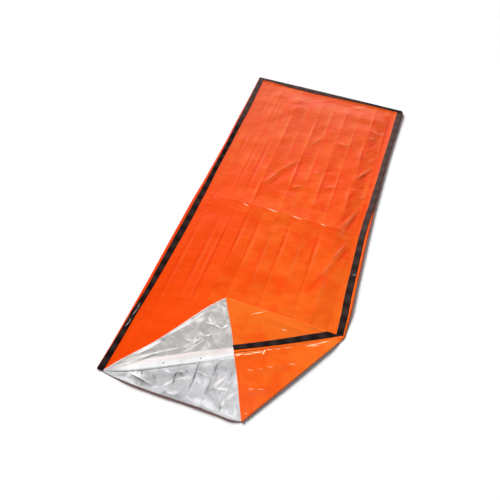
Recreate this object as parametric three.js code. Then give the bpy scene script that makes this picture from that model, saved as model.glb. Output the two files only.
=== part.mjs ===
import * as THREE from 'three';

// Emergency sleeping bag of orange film, lying flat with one mouth corner opened and folded back on the bag.
// A place on the bag is (across, along): across from the left edge, along from the mouth to the foot.

const { degToRad, lerp, smoothstep } = THREE.MathUtils;

// Driving dimensions, in millimetres
const BAG_WIDTH = 900;
const BAG_LENGTH = 2000;
const FILM = 1;
const TAPE = 1;
const CLEARANCE = 0.35;

// Heights of the middle of each sheet where it lies flat, and of the tape above the film that carries it
const BOTTOM_HEIGHT = FILM / 2;
const TOP_HEIGHT = FILM + CLEARANCE + FILM / 2;
const TAPE_LIFT = FILM / 2 + CLEARANCE + TAPE / 2;

// Outline: the sides draw in between the fold and the foot, the foot edge sags, and one foot corner is rounded
const WAIST = 9;
const FOOT_SAG = 5;
const FOOT_SAG_REACH = 300;
const FOOT_CORNER_RADIUS = 18;

// The top panel lies flat along its taped borders and stands a little clear of the bottom panel between them
const BORDER = 50;
const BORDER_RISE = 110;
const LOFT = 6.5;
const CROSS_FOLD = { along: 1012, rise: 2, reach: 72 };

// Lengthwise packing folds of the top panel: ridges and valleys in turn, as uneven as they were pressed
const PLEATS = [
  { across: 100, rise: -0.9 },
  { across: 171, rise: 1.3 },
  { across: 230, rise: -1.2 },
  { across: 293, rise: 1.1 },
  { across: 364, rise: -1.3 },
  { across: 437, rise: 1.4 },
  { across: 511, rise: -1.2 },
  { across: 584, rise: 1.3 },
  { across: 665, rise: -1.1 },
  { across: 742, rise: 1.2 },
  { across: 822, rise: -0.8 },
];

const HIGHEST_PLEAT = Math.max(...PLEATS.map((pleat) => pleat.rise));

// The folded mouth corner: every fold starts at one point on the right edge, FOLD_LENGTH from the mouth.
// Angles about that point are measured from the direction of the left edge towards the mouth.
const FOLD_LENGTH = 472;
const TOP_CREASE_START = 28; // across the mouth, where the top panel turns back
const UNDER_CREASE_START = 607; // across the mouth, where the bottom panel turns up
const TIP_LENGTH = 538; // from the fold point to the tip of the turned-back film
const SEAM_LAID = degToRad(29.2); // direction in which the opened seam comes to lie
const SEAM_CUT = Math.PI / 2; // direction of the seam on the flat bag
const MOUTH_CORNER = Math.atan2(FOLD_LENGTH, BAG_WIDTH);
const TOP_CREASE = Math.atan2(FOLD_LENGTH, BAG_WIDTH - TOP_CREASE_START);
const TIP_CREASE = Math.asin(FOLD_LENGTH / TIP_LENGTH);
const UNDER_CREASE = Math.atan2(FOLD_LENGTH, BAG_WIDTH - UNDER_CREASE_START);
const TOP_CREASE_LENGTH = FOLD_LENGTH / Math.sin(TOP_CREASE);
const UNDER_CREASE_LENGTH = FOLD_LENGTH / Math.sin(UNDER_CREASE);
const FOLD_RELIEF = 12; // film is left open this close to the fold point, where no sheet can bend
const SEAM_GAP = 0.6;

// Soft rolls along the three creases: half width and height next to the fold point, and the gain further out
const TOP_ROLL = { halfWidth: 3, height: 4.2, moreWidth: 9, moreHeight: 7.8, bow: 18 };
const TIP_ROLL = { halfWidth: 1.5, height: 2.4, moreWidth: 0.8, moreHeight: 1.4 };
const UNDER_ROLL = { halfWidth: 1.5, height: 2.4, moreWidth: 3, moreHeight: 3.6 };
const TURNED_STEP = 4.2; // turned-back film above the film that it lies on
const TURNED_SETTLE = 70; // how far behind the crease it has settled down to that
const TURNED_BOW = 0.015; // sideways bow of the turned-back film and of the flap on it, in radians
const FLAP_BOW = -0.026;
const FLAP_ARCH = 5;
const CREASE_MARGIN = 0.98; // flat film ends this much short of a roll near the fold point

// Right and left tape, by distance along the bag: gap to the edge of the film, and width. The right tape keeps
// its first row's values from the fold point to the mouth.
const RIGHT_TAPE = [
  { along: FOLD_LENGTH, inset: 15, width: 28 },
  { along: 760, inset: 19, width: 26 },
  { along: 940, inset: 15, width: 30 },
  { along: 1360, inset: 5, width: 30 },
  { along: 1640, inset: 0, width: 37 },
  { along: 2000, inset: 0, width: 35 },
];
const LEFT_TAPE = [
  { along: 0, inset: 0, width: 24 },
  { along: 300, inset: 6, width: 28 },
  { along: 940, inset: 12, width: 31 },
  { along: 1360, inset: 8, width: 29 },
  { along: 1570, inset: 7, width: 27 },
  { along: 2000, inset: 0, width: 31 },
];
const FOOT_TAPE_WIDTH = 28;
const TAPE_END = 1; // the tapes stop this much short of the mouth edge

// Mesh steps
const ROLL_SHARES = shares(6);
const FLAT_SHARES = shares(8).slice(1, -1);
const TAPE_FLAP_STEPS = 36;
const FOOT_TAPE_STEPS = 12;
const MOUTH_ROWS = [TAPE_END, 120, 240, 360];
const MAIN_ANGLES = [0, 6, 12, 18, 23, 26].map(degToRad).concat(MOUTH_CORNER);
const BOTTOM_ANGLES = [0, 14].map(degToRad).concat(MOUTH_CORNER, [36, 45, 52].map(degToRad));
const FOLD_COLUMNS = [548, 625, 645, 685, 704, 723, 757, 772, 785, 797, 810, 836];
const TOP_COLUMNS = [0, BORDER / 2, BORDER]
  .concat(PLEATS.map((pleat) => pleat.across))
  .concat(FOLD_COLUMNS, BAG_WIDTH - BORDER, BAG_WIDTH - BORDER / 2, BAG_WIDTH - FOLD_RELIEF, BAG_WIDTH)
  .sort((a, b) => a - b);
const BOTTOM_COLUMNS = [0, 120, 240, 360, 480, 600, 700, 780, 840, 875, BAG_WIDTH - FOLD_RELIEF, BAG_WIDTH];
const CROSS_FOLD_ROWS = [-1, 0, 1].map((side) => CROSS_FOLD.along + side * CROSS_FOLD.reach);
const FOOT_ROWS = [BORDER + BORDER_RISE, BORDER + BORDER_RISE / 2, BORDER, FOOT_CORNER_RADIUS, 0]
  .map((back) => BAG_LENGTH - back);
const ROWS = [FOLD_LENGTH, 560, 650, 745, 845]
  .concat(CROSS_FOLD_ROWS, [1180, 1280, 1380, 1480, 1580, 1680, 1780], FOOT_ROWS);

function shares(steps) {
  return Array.from({ length: steps + 1 }, (_, step) => step / steps);
}

// Straight-line reading of a table whose rows are in rising order of one column
function readTable(rows, key, place, column) {
  const next = rows.findIndex((row) => row[key] >= place);
  if (next < 0) return rows[rows.length - 1][column];
  if (next === 0) return rows[0][column];
  const [low, high] = [rows[next - 1], rows[next]];
  return lerp(low[column], high[column], (place - low[key]) / (high[key] - low[key]));
}

// Outline of the flat film
function roundedCorner(across, along) {
  const radius = FOOT_CORNER_RADIUS;
  const a = Math.max(0, 1 - (BAG_WIDTH - across) / radius);
  const b = Math.max(0, 1 - (BAG_LENGTH - along) / radius);
  if (a === 0 || b === 0) return [across, along];
  const roundA = a * Math.sqrt(1 - (b * b) / 2);
  const roundB = b * Math.sqrt(1 - (a * a) / 2);
  return [BAG_WIDTH - radius * (1 - roundA), BAG_LENGTH - radius * (1 - roundB)];
}

function laidOut(across, along) {
  const [u, v] = roundedCorner(across, along);
  const drawn = Math.sin((Math.PI * Math.max(v - FOLD_LENGTH, 0)) / (BAG_LENGTH - FOLD_LENGTH));
  const inset = WAIST * drawn * drawn;
  const nearFoot = smoothstep(v, BAG_LENGTH - FOOT_SAG_REACH, BAG_LENGTH);
  const sag = FOOT_SAG * Math.sin((Math.PI * u) / BAG_WIDTH) * nearFoot;
  return [u + inset * (1 - (2 * u) / BAG_WIDTH), v - sag];
}

// Height of the middle of the top panel where it lies the right way up
function pleatRise(across) {
  const rows = [{ across: 0, rise: 0 }, ...PLEATS, { across: BAG_WIDTH, rise: 0 }];
  return readTable(rows, 'across', across, 'rise');
}

function freeShare(across, along) {
  const fromSide = Math.min(across, BAG_WIDTH - across);
  const freeSide = smoothstep(fromSide, BORDER, BORDER + BORDER_RISE);
  return freeSide * smoothstep(BAG_LENGTH - along, BORDER, BORDER + BORDER_RISE);
}

function topHeight(across, along) {
  const fold = CROSS_FOLD.rise * Math.max(0, 1 - Math.abs(along - CROSS_FOLD.along) / CROSS_FOLD.reach);
  return TOP_HEIGHT + freeShare(across, along) * (LOFT + pleatRise(across) + fold);
}

// Level of the ridges, on which the turned-back film lies
function ridgeHeight(across, along) {
  return TOP_HEIGHT + freeShare(across, along) * (LOFT + HIGHEST_PLEAT);
}

// The folded corner is worked out on arcs about the fold point: sideways is the distance along such an arc
function foldPlan(radius, sideways) {
  const angle = sideways / radius;
  return [BAG_WIDTH - radius * Math.cos(angle), FOLD_LENGTH - radius * Math.sin(angle)];
}

function edgeRadius(angle) {
  return angle < MOUTH_CORNER ? BAG_WIDTH / Math.cos(angle) : FOLD_LENGTH / Math.sin(angle);
}

function topRoll(radius) {
  const swell = Math.sin(Math.PI * Math.min(radius / TOP_CREASE_LENGTH, 1));
  const halfWidth = TOP_ROLL.halfWidth + TOP_ROLL.moreWidth * swell;
  const height = TOP_ROLL.height + TOP_ROLL.moreHeight * swell;
  return { halfWidth, height, centre: radius * TOP_CREASE + TOP_ROLL.bow * swell - halfWidth };
}

function tipRoll(radius) {
  const out = Math.min(radius / TIP_LENGTH, 1);
  const halfWidth = TIP_ROLL.halfWidth + TIP_ROLL.moreWidth * out;
  return { halfWidth, height: TIP_ROLL.height + TIP_ROLL.moreHeight * out, centre: halfWidth };
}

function underRoll(radius) {
  const out = Math.min(radius / UNDER_CREASE_LENGTH, 1);
  const halfWidth = UNDER_ROLL.halfWidth + UNDER_ROLL.moreWidth * out;
  const height = UNDER_ROLL.height + UNDER_ROLL.moreHeight * out;
  return { halfWidth, height, centre: radius * UNDER_CREASE - halfWidth };
}

function turnedHeight(radius, sideways) {
  const roll = topRoll(radius);
  const over = Math.min(sideways, roll.centre);
  const settled = smoothstep(roll.centre - over, 0, TURNED_SETTLE);
  return ridgeHeight(...foldPlan(radius, over)) + lerp(roll.height, TURNED_STEP, settled);
}

// The flap runs straight from the tip crease up to the seam, which lies over the roll of the top crease
function flapHeight(radius, share) {
  const tip = tipRoll(radius);
  const low = turnedHeight(radius, tip.centre);
  return tip.height + lerp(low, turnedHeight(radius, topRoll(radius).centre), share);
}

// Each place in a section gives its sideways distance, its height, and where the face looks (sideways, up)
function flatFilm(radius, angle, lastAngle, roll, height) {
  const room = Math.min(1, (CREASE_MARGIN * roll.centre) / (radius * lastAngle));
  const sideways = radius * angle * room;
  return { sideways, height: height(...foldPlan(radius, sideways)), face: [0, 1] };
}

function halfTurn(share, roll, low, high, side) {
  const turn = Math.PI * share;
  const half = (high - low) / 2;
  const face = new THREE.Vector2(-half * Math.sin(turn), side * roll.halfWidth * Math.cos(turn)).normalize();
  return {
    sideways: roll.centre + side * roll.halfWidth * Math.sin(turn),
    height: low + half * (1 - Math.cos(turn)),
    face: [face.x, face.y],
  };
}

function topTurnedBack(radius, share) {
  const bow = TURNED_BOW * radius * Math.sin(2 * Math.PI * share);
  const sideways = lerp(topRoll(radius).centre, tipRoll(radius).centre, share) + bow;
  return { sideways, height: turnedHeight(radius, sideways), face: [0, -1] };
}

function topFlap(radius, share) {
  const bow = FLAP_BOW * radius * Math.sin(Math.PI * share);
  const sideways = lerp(tipRoll(radius).centre, radius * SEAM_LAID - SEAM_GAP / 2, share) + bow;
  return { sideways, height: flapHeight(radius, share), face: [0, 1] };
}

function bottomFlap(radius, share) {
  const roll = underRoll(radius);
  const seam = radius * SEAM_LAID + SEAM_GAP / 2;
  const arch = FLAP_ARCH * Math.sin(Math.PI * share) * (radius / UNDER_CREASE_LENGTH);
  const height = lerp(BOTTOM_HEIGHT + roll.height, flapHeight(radius, 1), smoothstep(share, 0, 1)) + arch;
  return { sideways: lerp(roll.centre, seam, share), height, face: [0, -1] };
}

// Sections through the folded corner, in the order in which the film passes through them. The angle is the
// direction on the flat film, and section gives its place once folded.
function topTurnAt(radius, share) {
  const roll = topRoll(radius);
  const low = topHeight(...foldPlan(radius, roll.centre));
  return halfTurn(share, roll, low, turnedHeight(radius, roll.centre), 1);
}

function tipTurnAt(radius, share) {
  const roll = tipRoll(radius);
  return halfTurn(share, roll, turnedHeight(radius, roll.centre), flapHeight(radius, 0), -1);
}

function underTurnAt(radius, share) {
  const roll = underRoll(radius);
  return halfTurn(share, roll, BOTTOM_HEIGHT, BOTTOM_HEIGHT + roll.height, 1);
}

const TOP_TURN_STATIONS = [
  ...ROLL_SHARES.map((share) => ({ angle: TOP_CREASE, section: (radius) => topTurnAt(radius, share) })),
  ...FLAT_SHARES.map((share) => ({
    angle: lerp(TOP_CREASE, TIP_CREASE, share),
    section: (radius) => topTurnedBack(radius, share),
  })),
  ...ROLL_SHARES.map((share) => ({ angle: TIP_CREASE, section: (radius) => tipTurnAt(radius, share) })),
];

const TOP_MAIN_STATIONS = MAIN_ANGLES.map((angle) => ({
  angle,
  section: (radius) => flatFilm(radius, angle, MOUTH_CORNER, topRoll(radius), topHeight),
}));

const TOP_FLAP_STATIONS = [...FLAT_SHARES, 1].map((share) => ({
  angle: lerp(TIP_CREASE, SEAM_CUT, share),
  section: (radius) => topFlap(radius, share),
}));

const BOTTOM_LAST_ANGLE = BOTTOM_ANGLES[BOTTOM_ANGLES.length - 1];
const BOTTOM_STATIONS = [
  ...BOTTOM_ANGLES.map((angle) => ({
    angle,
    section: (radius) => flatFilm(radius, angle, BOTTOM_LAST_ANGLE, underRoll(radius), () => BOTTOM_HEIGHT),
  })),
  ...ROLL_SHARES.map((share) => ({
    angle: UNDER_CREASE,
    section: (radius) => underTurnAt(radius, share),
  })),
  ...[...FLAT_SHARES, 1].map((share) => ({
    angle: lerp(UNDER_CREASE, SEAM_CUT, share),
    section: (radius) => bottomFlap(radius, share),
  })),
];

// A point of a sheet: its place in space and the direction that its face looks
function flatPoint(across, along, height) {
  const [x, y] = laidOut(across, along);
  return { place: new THREE.Vector3(x, y, height), face: new THREE.Vector3(0, 0, 1) };
}

function foldedPoint(radius, section) {
  const angle = section.sideways / radius;
  const [x, y] = foldPlan(radius, section.sideways);
  const [aside, up] = section.face;
  return {
    place: new THREE.Vector3(x, y, section.height),
    face: new THREE.Vector3(aside * Math.sin(angle), -aside * Math.cos(angle), up),
  };
}

function lifted(point, lift) {
  return { place: point.place.clone().addScaledVector(point.face, lift), face: point.face };
}

// Closed solid of even thickness about sheet points laid out in grids of rows that may share an edge
function sheetGeometry(grids, thickness) {
  const points = [];
  const numbers = new Map();
  const numberOf = (point) => {
    const key = point.place.toArray().map((value) => value.toFixed(3)).join();
    if (!numbers.has(key)) {
      numbers.set(key, points.length);
      points.push(point);
    }
    return numbers.get(key);
  };
  const faces = [];
  for (const grid of grids) {
    const rows = grid.map((row) => row.map(numberOf));
    for (let row = 1; row < rows.length; row++) {
      for (let column = 1; column < rows[row].length; column++) {
        const [a, b] = [rows[row - 1][column - 1], rows[row - 1][column]];
        const [c, d] = [rows[row][column], rows[row][column - 1]];
        faces.push([a, b, c], [a, c, d]);
      }
    }
  }
  const under = points.length;
  const edges = new Set(faces.flatMap(([a, b, c]) => [`${a},${b}`, `${b},${c}`, `${c},${a}`]));
  const rim = [...edges].map((edge) => edge.split(',').map(Number)).filter(([a, b]) => !edges.has(`${b},${a}`));
  const index = [
    ...faces,
    ...faces.map(([a, b, c]) => [a + under, c + under, b + under]),
    ...rim.flatMap(([a, b]) => [[a, a + under, b + under], [a, b + under, b]]),
  ].flat();
  const half = thickness / 2;
  const upper = points.map((point) => lifted(point, half).place);
  const lower = points.map((point) => lifted(point, -half).place);
  const geometry = new THREE.BufferGeometry().setFromPoints([...upper, ...lower]);
  geometry.setIndex(index);
  geometry.computeVertexNormals();
  return geometry;
}

// Film panels: a flat part from the fold point to the foot, and the folded corner fanned out about that point
function panelGeometry(columns, stations, height) {
  const flat = ROWS.map((along) => columns.map((across) => flatPoint(across, along, height(across, along))));
  const folded = stations.map(({ angle, section }) =>
    columns.slice(0, -1).map((across) => {
      const radius = (1 - across / BAG_WIDTH) * edgeRadius(angle);
      return foldedPoint(radius, section(radius));
    }));
  return sheetGeometry([flat, folded.reverse()], FILM);
}

// Tapes lie on the outer face of the top panel
function onTop(across, along) {
  return lifted(flatPoint(across, along, topHeight(across, along)), TAPE_LIFT);
}

function sideTapeRow(table, along, sideSign) {
  const inset = readTable(table, 'along', along, 'inset');
  const width = readTable(table, 'along', along, 'width');
  return [inset, inset + width / 2, inset + width].map((gap) => (sideSign < 0 ? gap : BAG_WIDTH - gap));
}

function leftTapeGeometry() {
  const grid = [...MOUTH_ROWS, ...ROWS].map((along) =>
    sideTapeRow(LEFT_TAPE, along, -1).map((across) => onTop(across, along)));
  return sheetGeometry([grid], TAPE);
}

function footTapeGeometry() {
  const rows = [FOOT_TAPE_WIDTH, FOOT_CORNER_RADIUS, 0].map((back) => BAG_LENGTH - back);
  const start = Math.max(...rows.map((along) => sideTapeRow(LEFT_TAPE, along, -1)[2])) + CLEARANCE;
  const end = BAG_WIDTH - FOOT_CORNER_RADIUS;
  const columns = [...shares(FOOT_TAPE_STEPS).map((share) => lerp(start, end, share)), BAG_WIDTH];
  return sheetGeometry([rows.map((along) => columns.map((across) => onTop(across, along)))], TAPE);
}

// The right tape goes with the film through the folded corner and ends on the flap at the mouth
function rightTapeGeometry() {
  const footEnd = BAG_LENGTH - FOOT_TAPE_WIDTH - CLEARANCE;
  const flatRows = [footEnd, ...ROWS.filter((along) => along < footEnd - BORDER / 2).reverse()];
  const flat = flatRows.map((along) => sideTapeRow(RIGHT_TAPE, along, 1).map((across) => onTop(across, along)));
  const gaps = sideTapeRow(RIGHT_TAPE, FOLD_LENGTH, 1).map((across) => BAG_WIDTH - across);
  const turned = [...TOP_MAIN_STATIONS.slice(1), ...TOP_TURN_STATIONS].map(({ angle, section }) =>
    gaps.map((gap) => {
      const radius = gap / Math.cos(angle);
      return lifted(foldedPoint(radius, section(radius)), TAPE_LIFT);
    }));
  const onFlap = shares(TAPE_FLAP_STEPS).slice(1).map((share) =>
    gaps.map((gap) => {
      const down = lerp(gap * Math.tan(TIP_CREASE), FOLD_LENGTH - TAPE_END, share);
      const flapShare = (Math.atan2(down, gap) - TIP_CREASE) / (SEAM_CUT - TIP_CREASE);
      const radius = Math.hypot(gap, down);
      return lifted(foldedPoint(radius, topFlap(radius, flapShare)), TAPE_LIFT);
    }));
  return sheetGeometry([[...flat, ...turned, ...onFlap]], TAPE);
}

const orangeFilm = { color: 0xf4581a, roughness: 0.4, metalness: 0 };
const blackTape = { color: 0x2b2523, roughness: 0.85, metalness: 0 };

function piece(name, geometry, finish) {
  const mesh = new THREE.Mesh(geometry, new THREE.MeshStandardMaterial(finish));
  mesh.name = name;
  return mesh;
}

const topStations = [...TOP_MAIN_STATIONS, ...TOP_TURN_STATIONS, ...TOP_FLAP_STATIONS];
const bag = new THREE.Group();
bag.position.set(-BAG_WIDTH / 2, -BAG_LENGTH / 2, 0);
bag.add(
  piece('top_panel', panelGeometry(TOP_COLUMNS, topStations, topHeight), orangeFilm),
  piece('bottom_panel', panelGeometry(BOTTOM_COLUMNS, BOTTOM_STATIONS, () => BOTTOM_HEIGHT), orangeFilm),
  piece('tape_left', leftTapeGeometry(), blackTape),
  piece('tape_right', rightTapeGeometry(), blackTape),
  piece('tape_foot', footTapeGeometry(), blackTape),
);

export default bag;
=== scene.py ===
"""Emergency sleeping bag of orange film, lying flat with one mouth corner opened and folded back on the bag.

A place on the bag is (across, along) in millimetres: across from the left edge, along from the mouth
to the foot.
"""

import math

import bpy
import numpy as np
from mathutils import Matrix, Vector


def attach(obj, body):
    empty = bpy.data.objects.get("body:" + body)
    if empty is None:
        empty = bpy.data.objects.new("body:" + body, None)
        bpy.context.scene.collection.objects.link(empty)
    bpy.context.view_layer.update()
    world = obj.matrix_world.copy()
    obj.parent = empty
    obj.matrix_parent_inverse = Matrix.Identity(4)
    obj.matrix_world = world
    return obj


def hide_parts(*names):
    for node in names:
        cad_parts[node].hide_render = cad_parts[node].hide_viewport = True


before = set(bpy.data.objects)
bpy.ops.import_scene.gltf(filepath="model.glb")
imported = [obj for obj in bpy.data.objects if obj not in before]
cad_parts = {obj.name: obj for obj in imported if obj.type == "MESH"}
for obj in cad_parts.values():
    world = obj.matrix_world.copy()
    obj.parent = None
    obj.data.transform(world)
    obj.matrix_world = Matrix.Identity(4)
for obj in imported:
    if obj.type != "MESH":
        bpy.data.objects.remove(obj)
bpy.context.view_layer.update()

bl_info = {
    "name": "Emergency Sleeping Bag",
    "version": (1, 0, 0),
    "blender": (4, 5, 0),
    "location": "3D View > Sidebar > Sleeping Bag",
    "description": "Builds a film sleeping bag with one mouth corner folded back, and a plain stage for it",
    "category": "Object",
}

MM = 0.001

# Flat sizes and heights of the middle of each sheet where it lies flat
BAG_WIDTH = 900
BAG_LENGTH = 2000
BOTTOM_HEIGHT = 0.5
TOP_HEIGHT = 1.85

# Outline: the sides draw in (distance along the bag, inset), the foot and the lip of the mouth bow out
# a little, and one foot corner is rounded
LEFT_INSET = (
    (0, 0),
    (130, 4),
    (440, 7.5),
    (670, 6),
    (930, 5.5),
    (1080, 9.5),
    (1400, 10),
    (1580, 6),
    (1770, 4.5),
    (2000, 0),
)
RIGHT_INSET = (
    (580, 0),
    (740, 7),
    (1000, 15),
    (1190, 19),
    (1290, 18.5),
    (1540, 18),
    (1650, 15.5),
    (1900, 8),
    (2000, 5),
)
FOOT_BOW = 2
FOOT_BOW_REACH = 300
# Lip of the mouth: distance across the bag, and bow
MOUTH_BOW = (
    (25, 0),
    (60, 5.5),
    (110, 9),
    (174, 11),
    (239, 11.5),
    (340, 8),
    (446, 5),
    (520, 6),
    (568, 7),
    (613, 0),
)
MOUTH_BOW_REACH = 150
FOOT_CORNER_RADIUS = 30

# The top panel lies flat along its taped borders and stands a little clear of the bottom panel between them
BORDER = 50
BORDER_RISE = 110
LEFT_RISE = 280
TURNED_LEFT_RISE = (20, 220)
LOFT = 6.5
MOUTH_LOFT = 0.45
MOUTH_LOFT_REACH = 150
CROSS_FOLD = 1012
CROSS_FOLD_RISE = 2
CROSS_FOLD_REACH = 72
CURL_REACH = 45
LIP_REACH = 34
EDGE_CURL = {"right": 8, "left": 2.5, "foot": 4, "mouth": 6.5}
# Where the curl of the right seam sets in along the bag, and where that of the lip of the mouth sets in
# at the left and dies out towards the crease of the bottom panel
RIGHT_CURL_RISE = (480, 620)
LIP_RISE = (20, 160)
LIP_END = (-10, 70)

# Lengthwise packing folds: ridges and valleys in turn, as uneven as they were pressed (across, rise)
PLEATS = (
    (100, -0.9),
    (171, 1.3),
    (230, -1.2),
    (293, 1.1),
    (364, -1.3),
    (437, 1.4),
    (511, -1.2),
    (584, 1.3),
    (665, -1.1),
    (742, 1.2),
    (822, -0.8),
)
PLEAT_PLACES = (0, *(across for across, _ in PLEATS), BAG_WIDTH)
PLEAT_SHOWN = 0.35
PLEAT_RISES = (0, *(rise for _, rise in PLEATS), 0)
HIGHEST_PLEAT = max(PLEAT_RISES)

# The folded mouth corner: every fold starts at one point on the right edge, FOLD_LENGTH from the mouth.
# Angles about that point are measured from the direction of the left edge towards the mouth.
FOLD_LENGTH = 472
TOP_CREASE_START = 28
UNDER_CREASE_START = 613
TIP_LENGTH = 538
SEAM_LAID = math.radians(28.8)
SEAM_CUT = math.pi / 2
MOUTH_CORNER = math.atan2(FOLD_LENGTH, BAG_WIDTH)
TOP_CREASE = math.atan2(FOLD_LENGTH, BAG_WIDTH - TOP_CREASE_START)
TIP_CREASE = math.asin(FOLD_LENGTH / TIP_LENGTH)
UNDER_CREASE = math.atan2(FOLD_LENGTH, BAG_WIDTH - UNDER_CREASE_START)
TOP_CREASE_LENGTH = FOLD_LENGTH / math.sin(TOP_CREASE)
UNDER_CREASE_LENGTH = FOLD_LENGTH / math.sin(UNDER_CREASE)
FOLD_RELIEF = 8
SEAM_GAP = 0.1

# Soft rolls along the three creases: half width and height next to the fold point, and the gain further out
TOP_ROLL = {
    "half_width": 4,
    "height": 1.0,
    "more_width": 13,
    "more_height": 1.2,
    "bow": 22,
    "bow_skew": 1.6,
}
TOP_ROLL_LEAN = 2
TIP_ROLL = {"half_width": 1.5, "height": 1.8, "more_width": 0.8, "more_height": 1.6}
UNDER_ROLL = {"half_width": 1.5, "height": 2.5, "more_width": 2.5, "more_height": 2.5}
UNDER_LIFT = 5.5
UNDER_LIFT_RISE = (10, 90)
UNDER_SETTLE = 0.6
UNDER_SETTLE_FROM = 220
TURNED_STEP = 4.2
TURNED_SETTLE = 70
# Sideways shift of the turned-back film, from its crease (0) to the tip crease (1), in parts of the
# distance to the fold point
TURNED_SHIFT = (
    (0, 0),
    (0.06, -0.011),
    (0.12, -0.009),
    (0.25, -0.003),
    (0.35, -0.008),
    (0.45, -0.0135),
    (0.55, -0.02),
    (0.65, -0.0265),
    (0.75, -0.0275),
    (0.9, -0.0155),
    (1, 0),
)
TURNED_SHOULDER = {"near": 34, "far": 8, "slope": 0.08, "start": 60}
# The bottom panel comes up to the roll of the turned-back film and falls away from it: how near and how
# high it comes, and distances from the widest part of the roll
ROLL_CLEARANCE = 0.45
SHOULDER_SHARE = 0.8
ROLL_UNDER_RISE = (-14, -1)
SHOULDER_RISE = (-0.2, 1.8)
SHOULDER_FALL = (6, 55)
ROLL_ANGLES = (math.radians(27.5), math.radians(32.5))
LAST_INSIDE_ANGLE = math.radians(55)
FLAP_BOW = 0.015
FLAP_EDGE_BOW = 0.012
SEAM_SAG = 5.5
FLAP_EASE = 1.7
CREASE_MARGIN = 0.98
RELIEF_FADE = 28

# Steps of the mesh in each part, and how far they crowd towards the packing folds
STEPS = {
    "columns": 12,
    "top_rows": (66, 112),
    "bottom_rows": (36, 60),
    "top": 34,
    "top_turn": 14,
    "turned": 40,
    "tip_turn": 8,
    "flap": 40,
    "inside": (30, 96, 26),
    "under_turn": 10,
    "under_flap": 44,
    "tape_width": 8,
    "left_tape": 400,
    "right_tape": 320,
    "flap_tape": 100,
    "foot_tape": (170, 8),
}
COLUMN_PULL = 0.6
ROW_PULL = 0.75

# Right and left tape: distance along the bag, gap to the edge of the film, and width
RIGHT_TAPE = (
    (0, 15, 24),
    (472, 10.5, 28.5),
    (566, 12, 30),
    (650, 14, 31),
    (820, 13, 31),
    (1000, 14.5, 30),
    (1090, 12, 30.5),
    (1150, 9, 30.5),
    (1200, 2.5, 33),
    (1290, 1.5, 33),
    (1400, 1.5, 30),
    (1540, 1, 29),
    (1650, 1, 28.7),
    (1770, 0.5, 29.5),
    (1900, 0, 33.5),
    (2000, 0, 34),
)
LEFT_TAPE = (
    (0, 0, 28),
    (180, 5, 24.5),
    (280, 6, 25),
    (390, 12.5, 23),
    (500, 12, 27.5),
    (740, 13.5, 32.5),
    (870, 15, 32),
    (1010, 13.5, 29.5),
    (1160, 11.5, 25),
    (1320, 10, 25),
    (1490, 8, 26.5),
    (1670, 6, 31),
    (1870, 2.5, 30),
    (2000, 0, 31),
)
# Foot tape: distance across the bag, and width
FOOT_TAPE = ((0, 18), (75, 18), (200, 28), (335, 31), (460, 28), (580, 23), (700, 19), (900, 20))
# Mean width of each tape, for its flat size
TAPE_END = 1
TAPE_CLEARANCE = 0.35
TAPE_LIFT = 0.15

# Painted sheen of each tape: distance along the bag and share of the pale colour
LEFT_TAPE_SHEEN = ((0, 0.05), (1000, 0.12), (1150, 0), (1500, 0.02), (1650, 0.6), (2000, 0.8))
RIGHT_TAPE_SHEEN = (
    (0, 0.13),
    (480, 0.1),
    (980, 0.22),
    (1030, 0.45),
    (1500, 0.62),
    (1955, 0.62),
    (1975, 0),
    (2000, 0),
)
# Foot tape: distance across the bag and share of the pale colour
FOOT_TAPE_SHEEN = ((0, 0.75), (540, 0.7), (650, 0.45), (800, 0.3), (900, 0))

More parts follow.
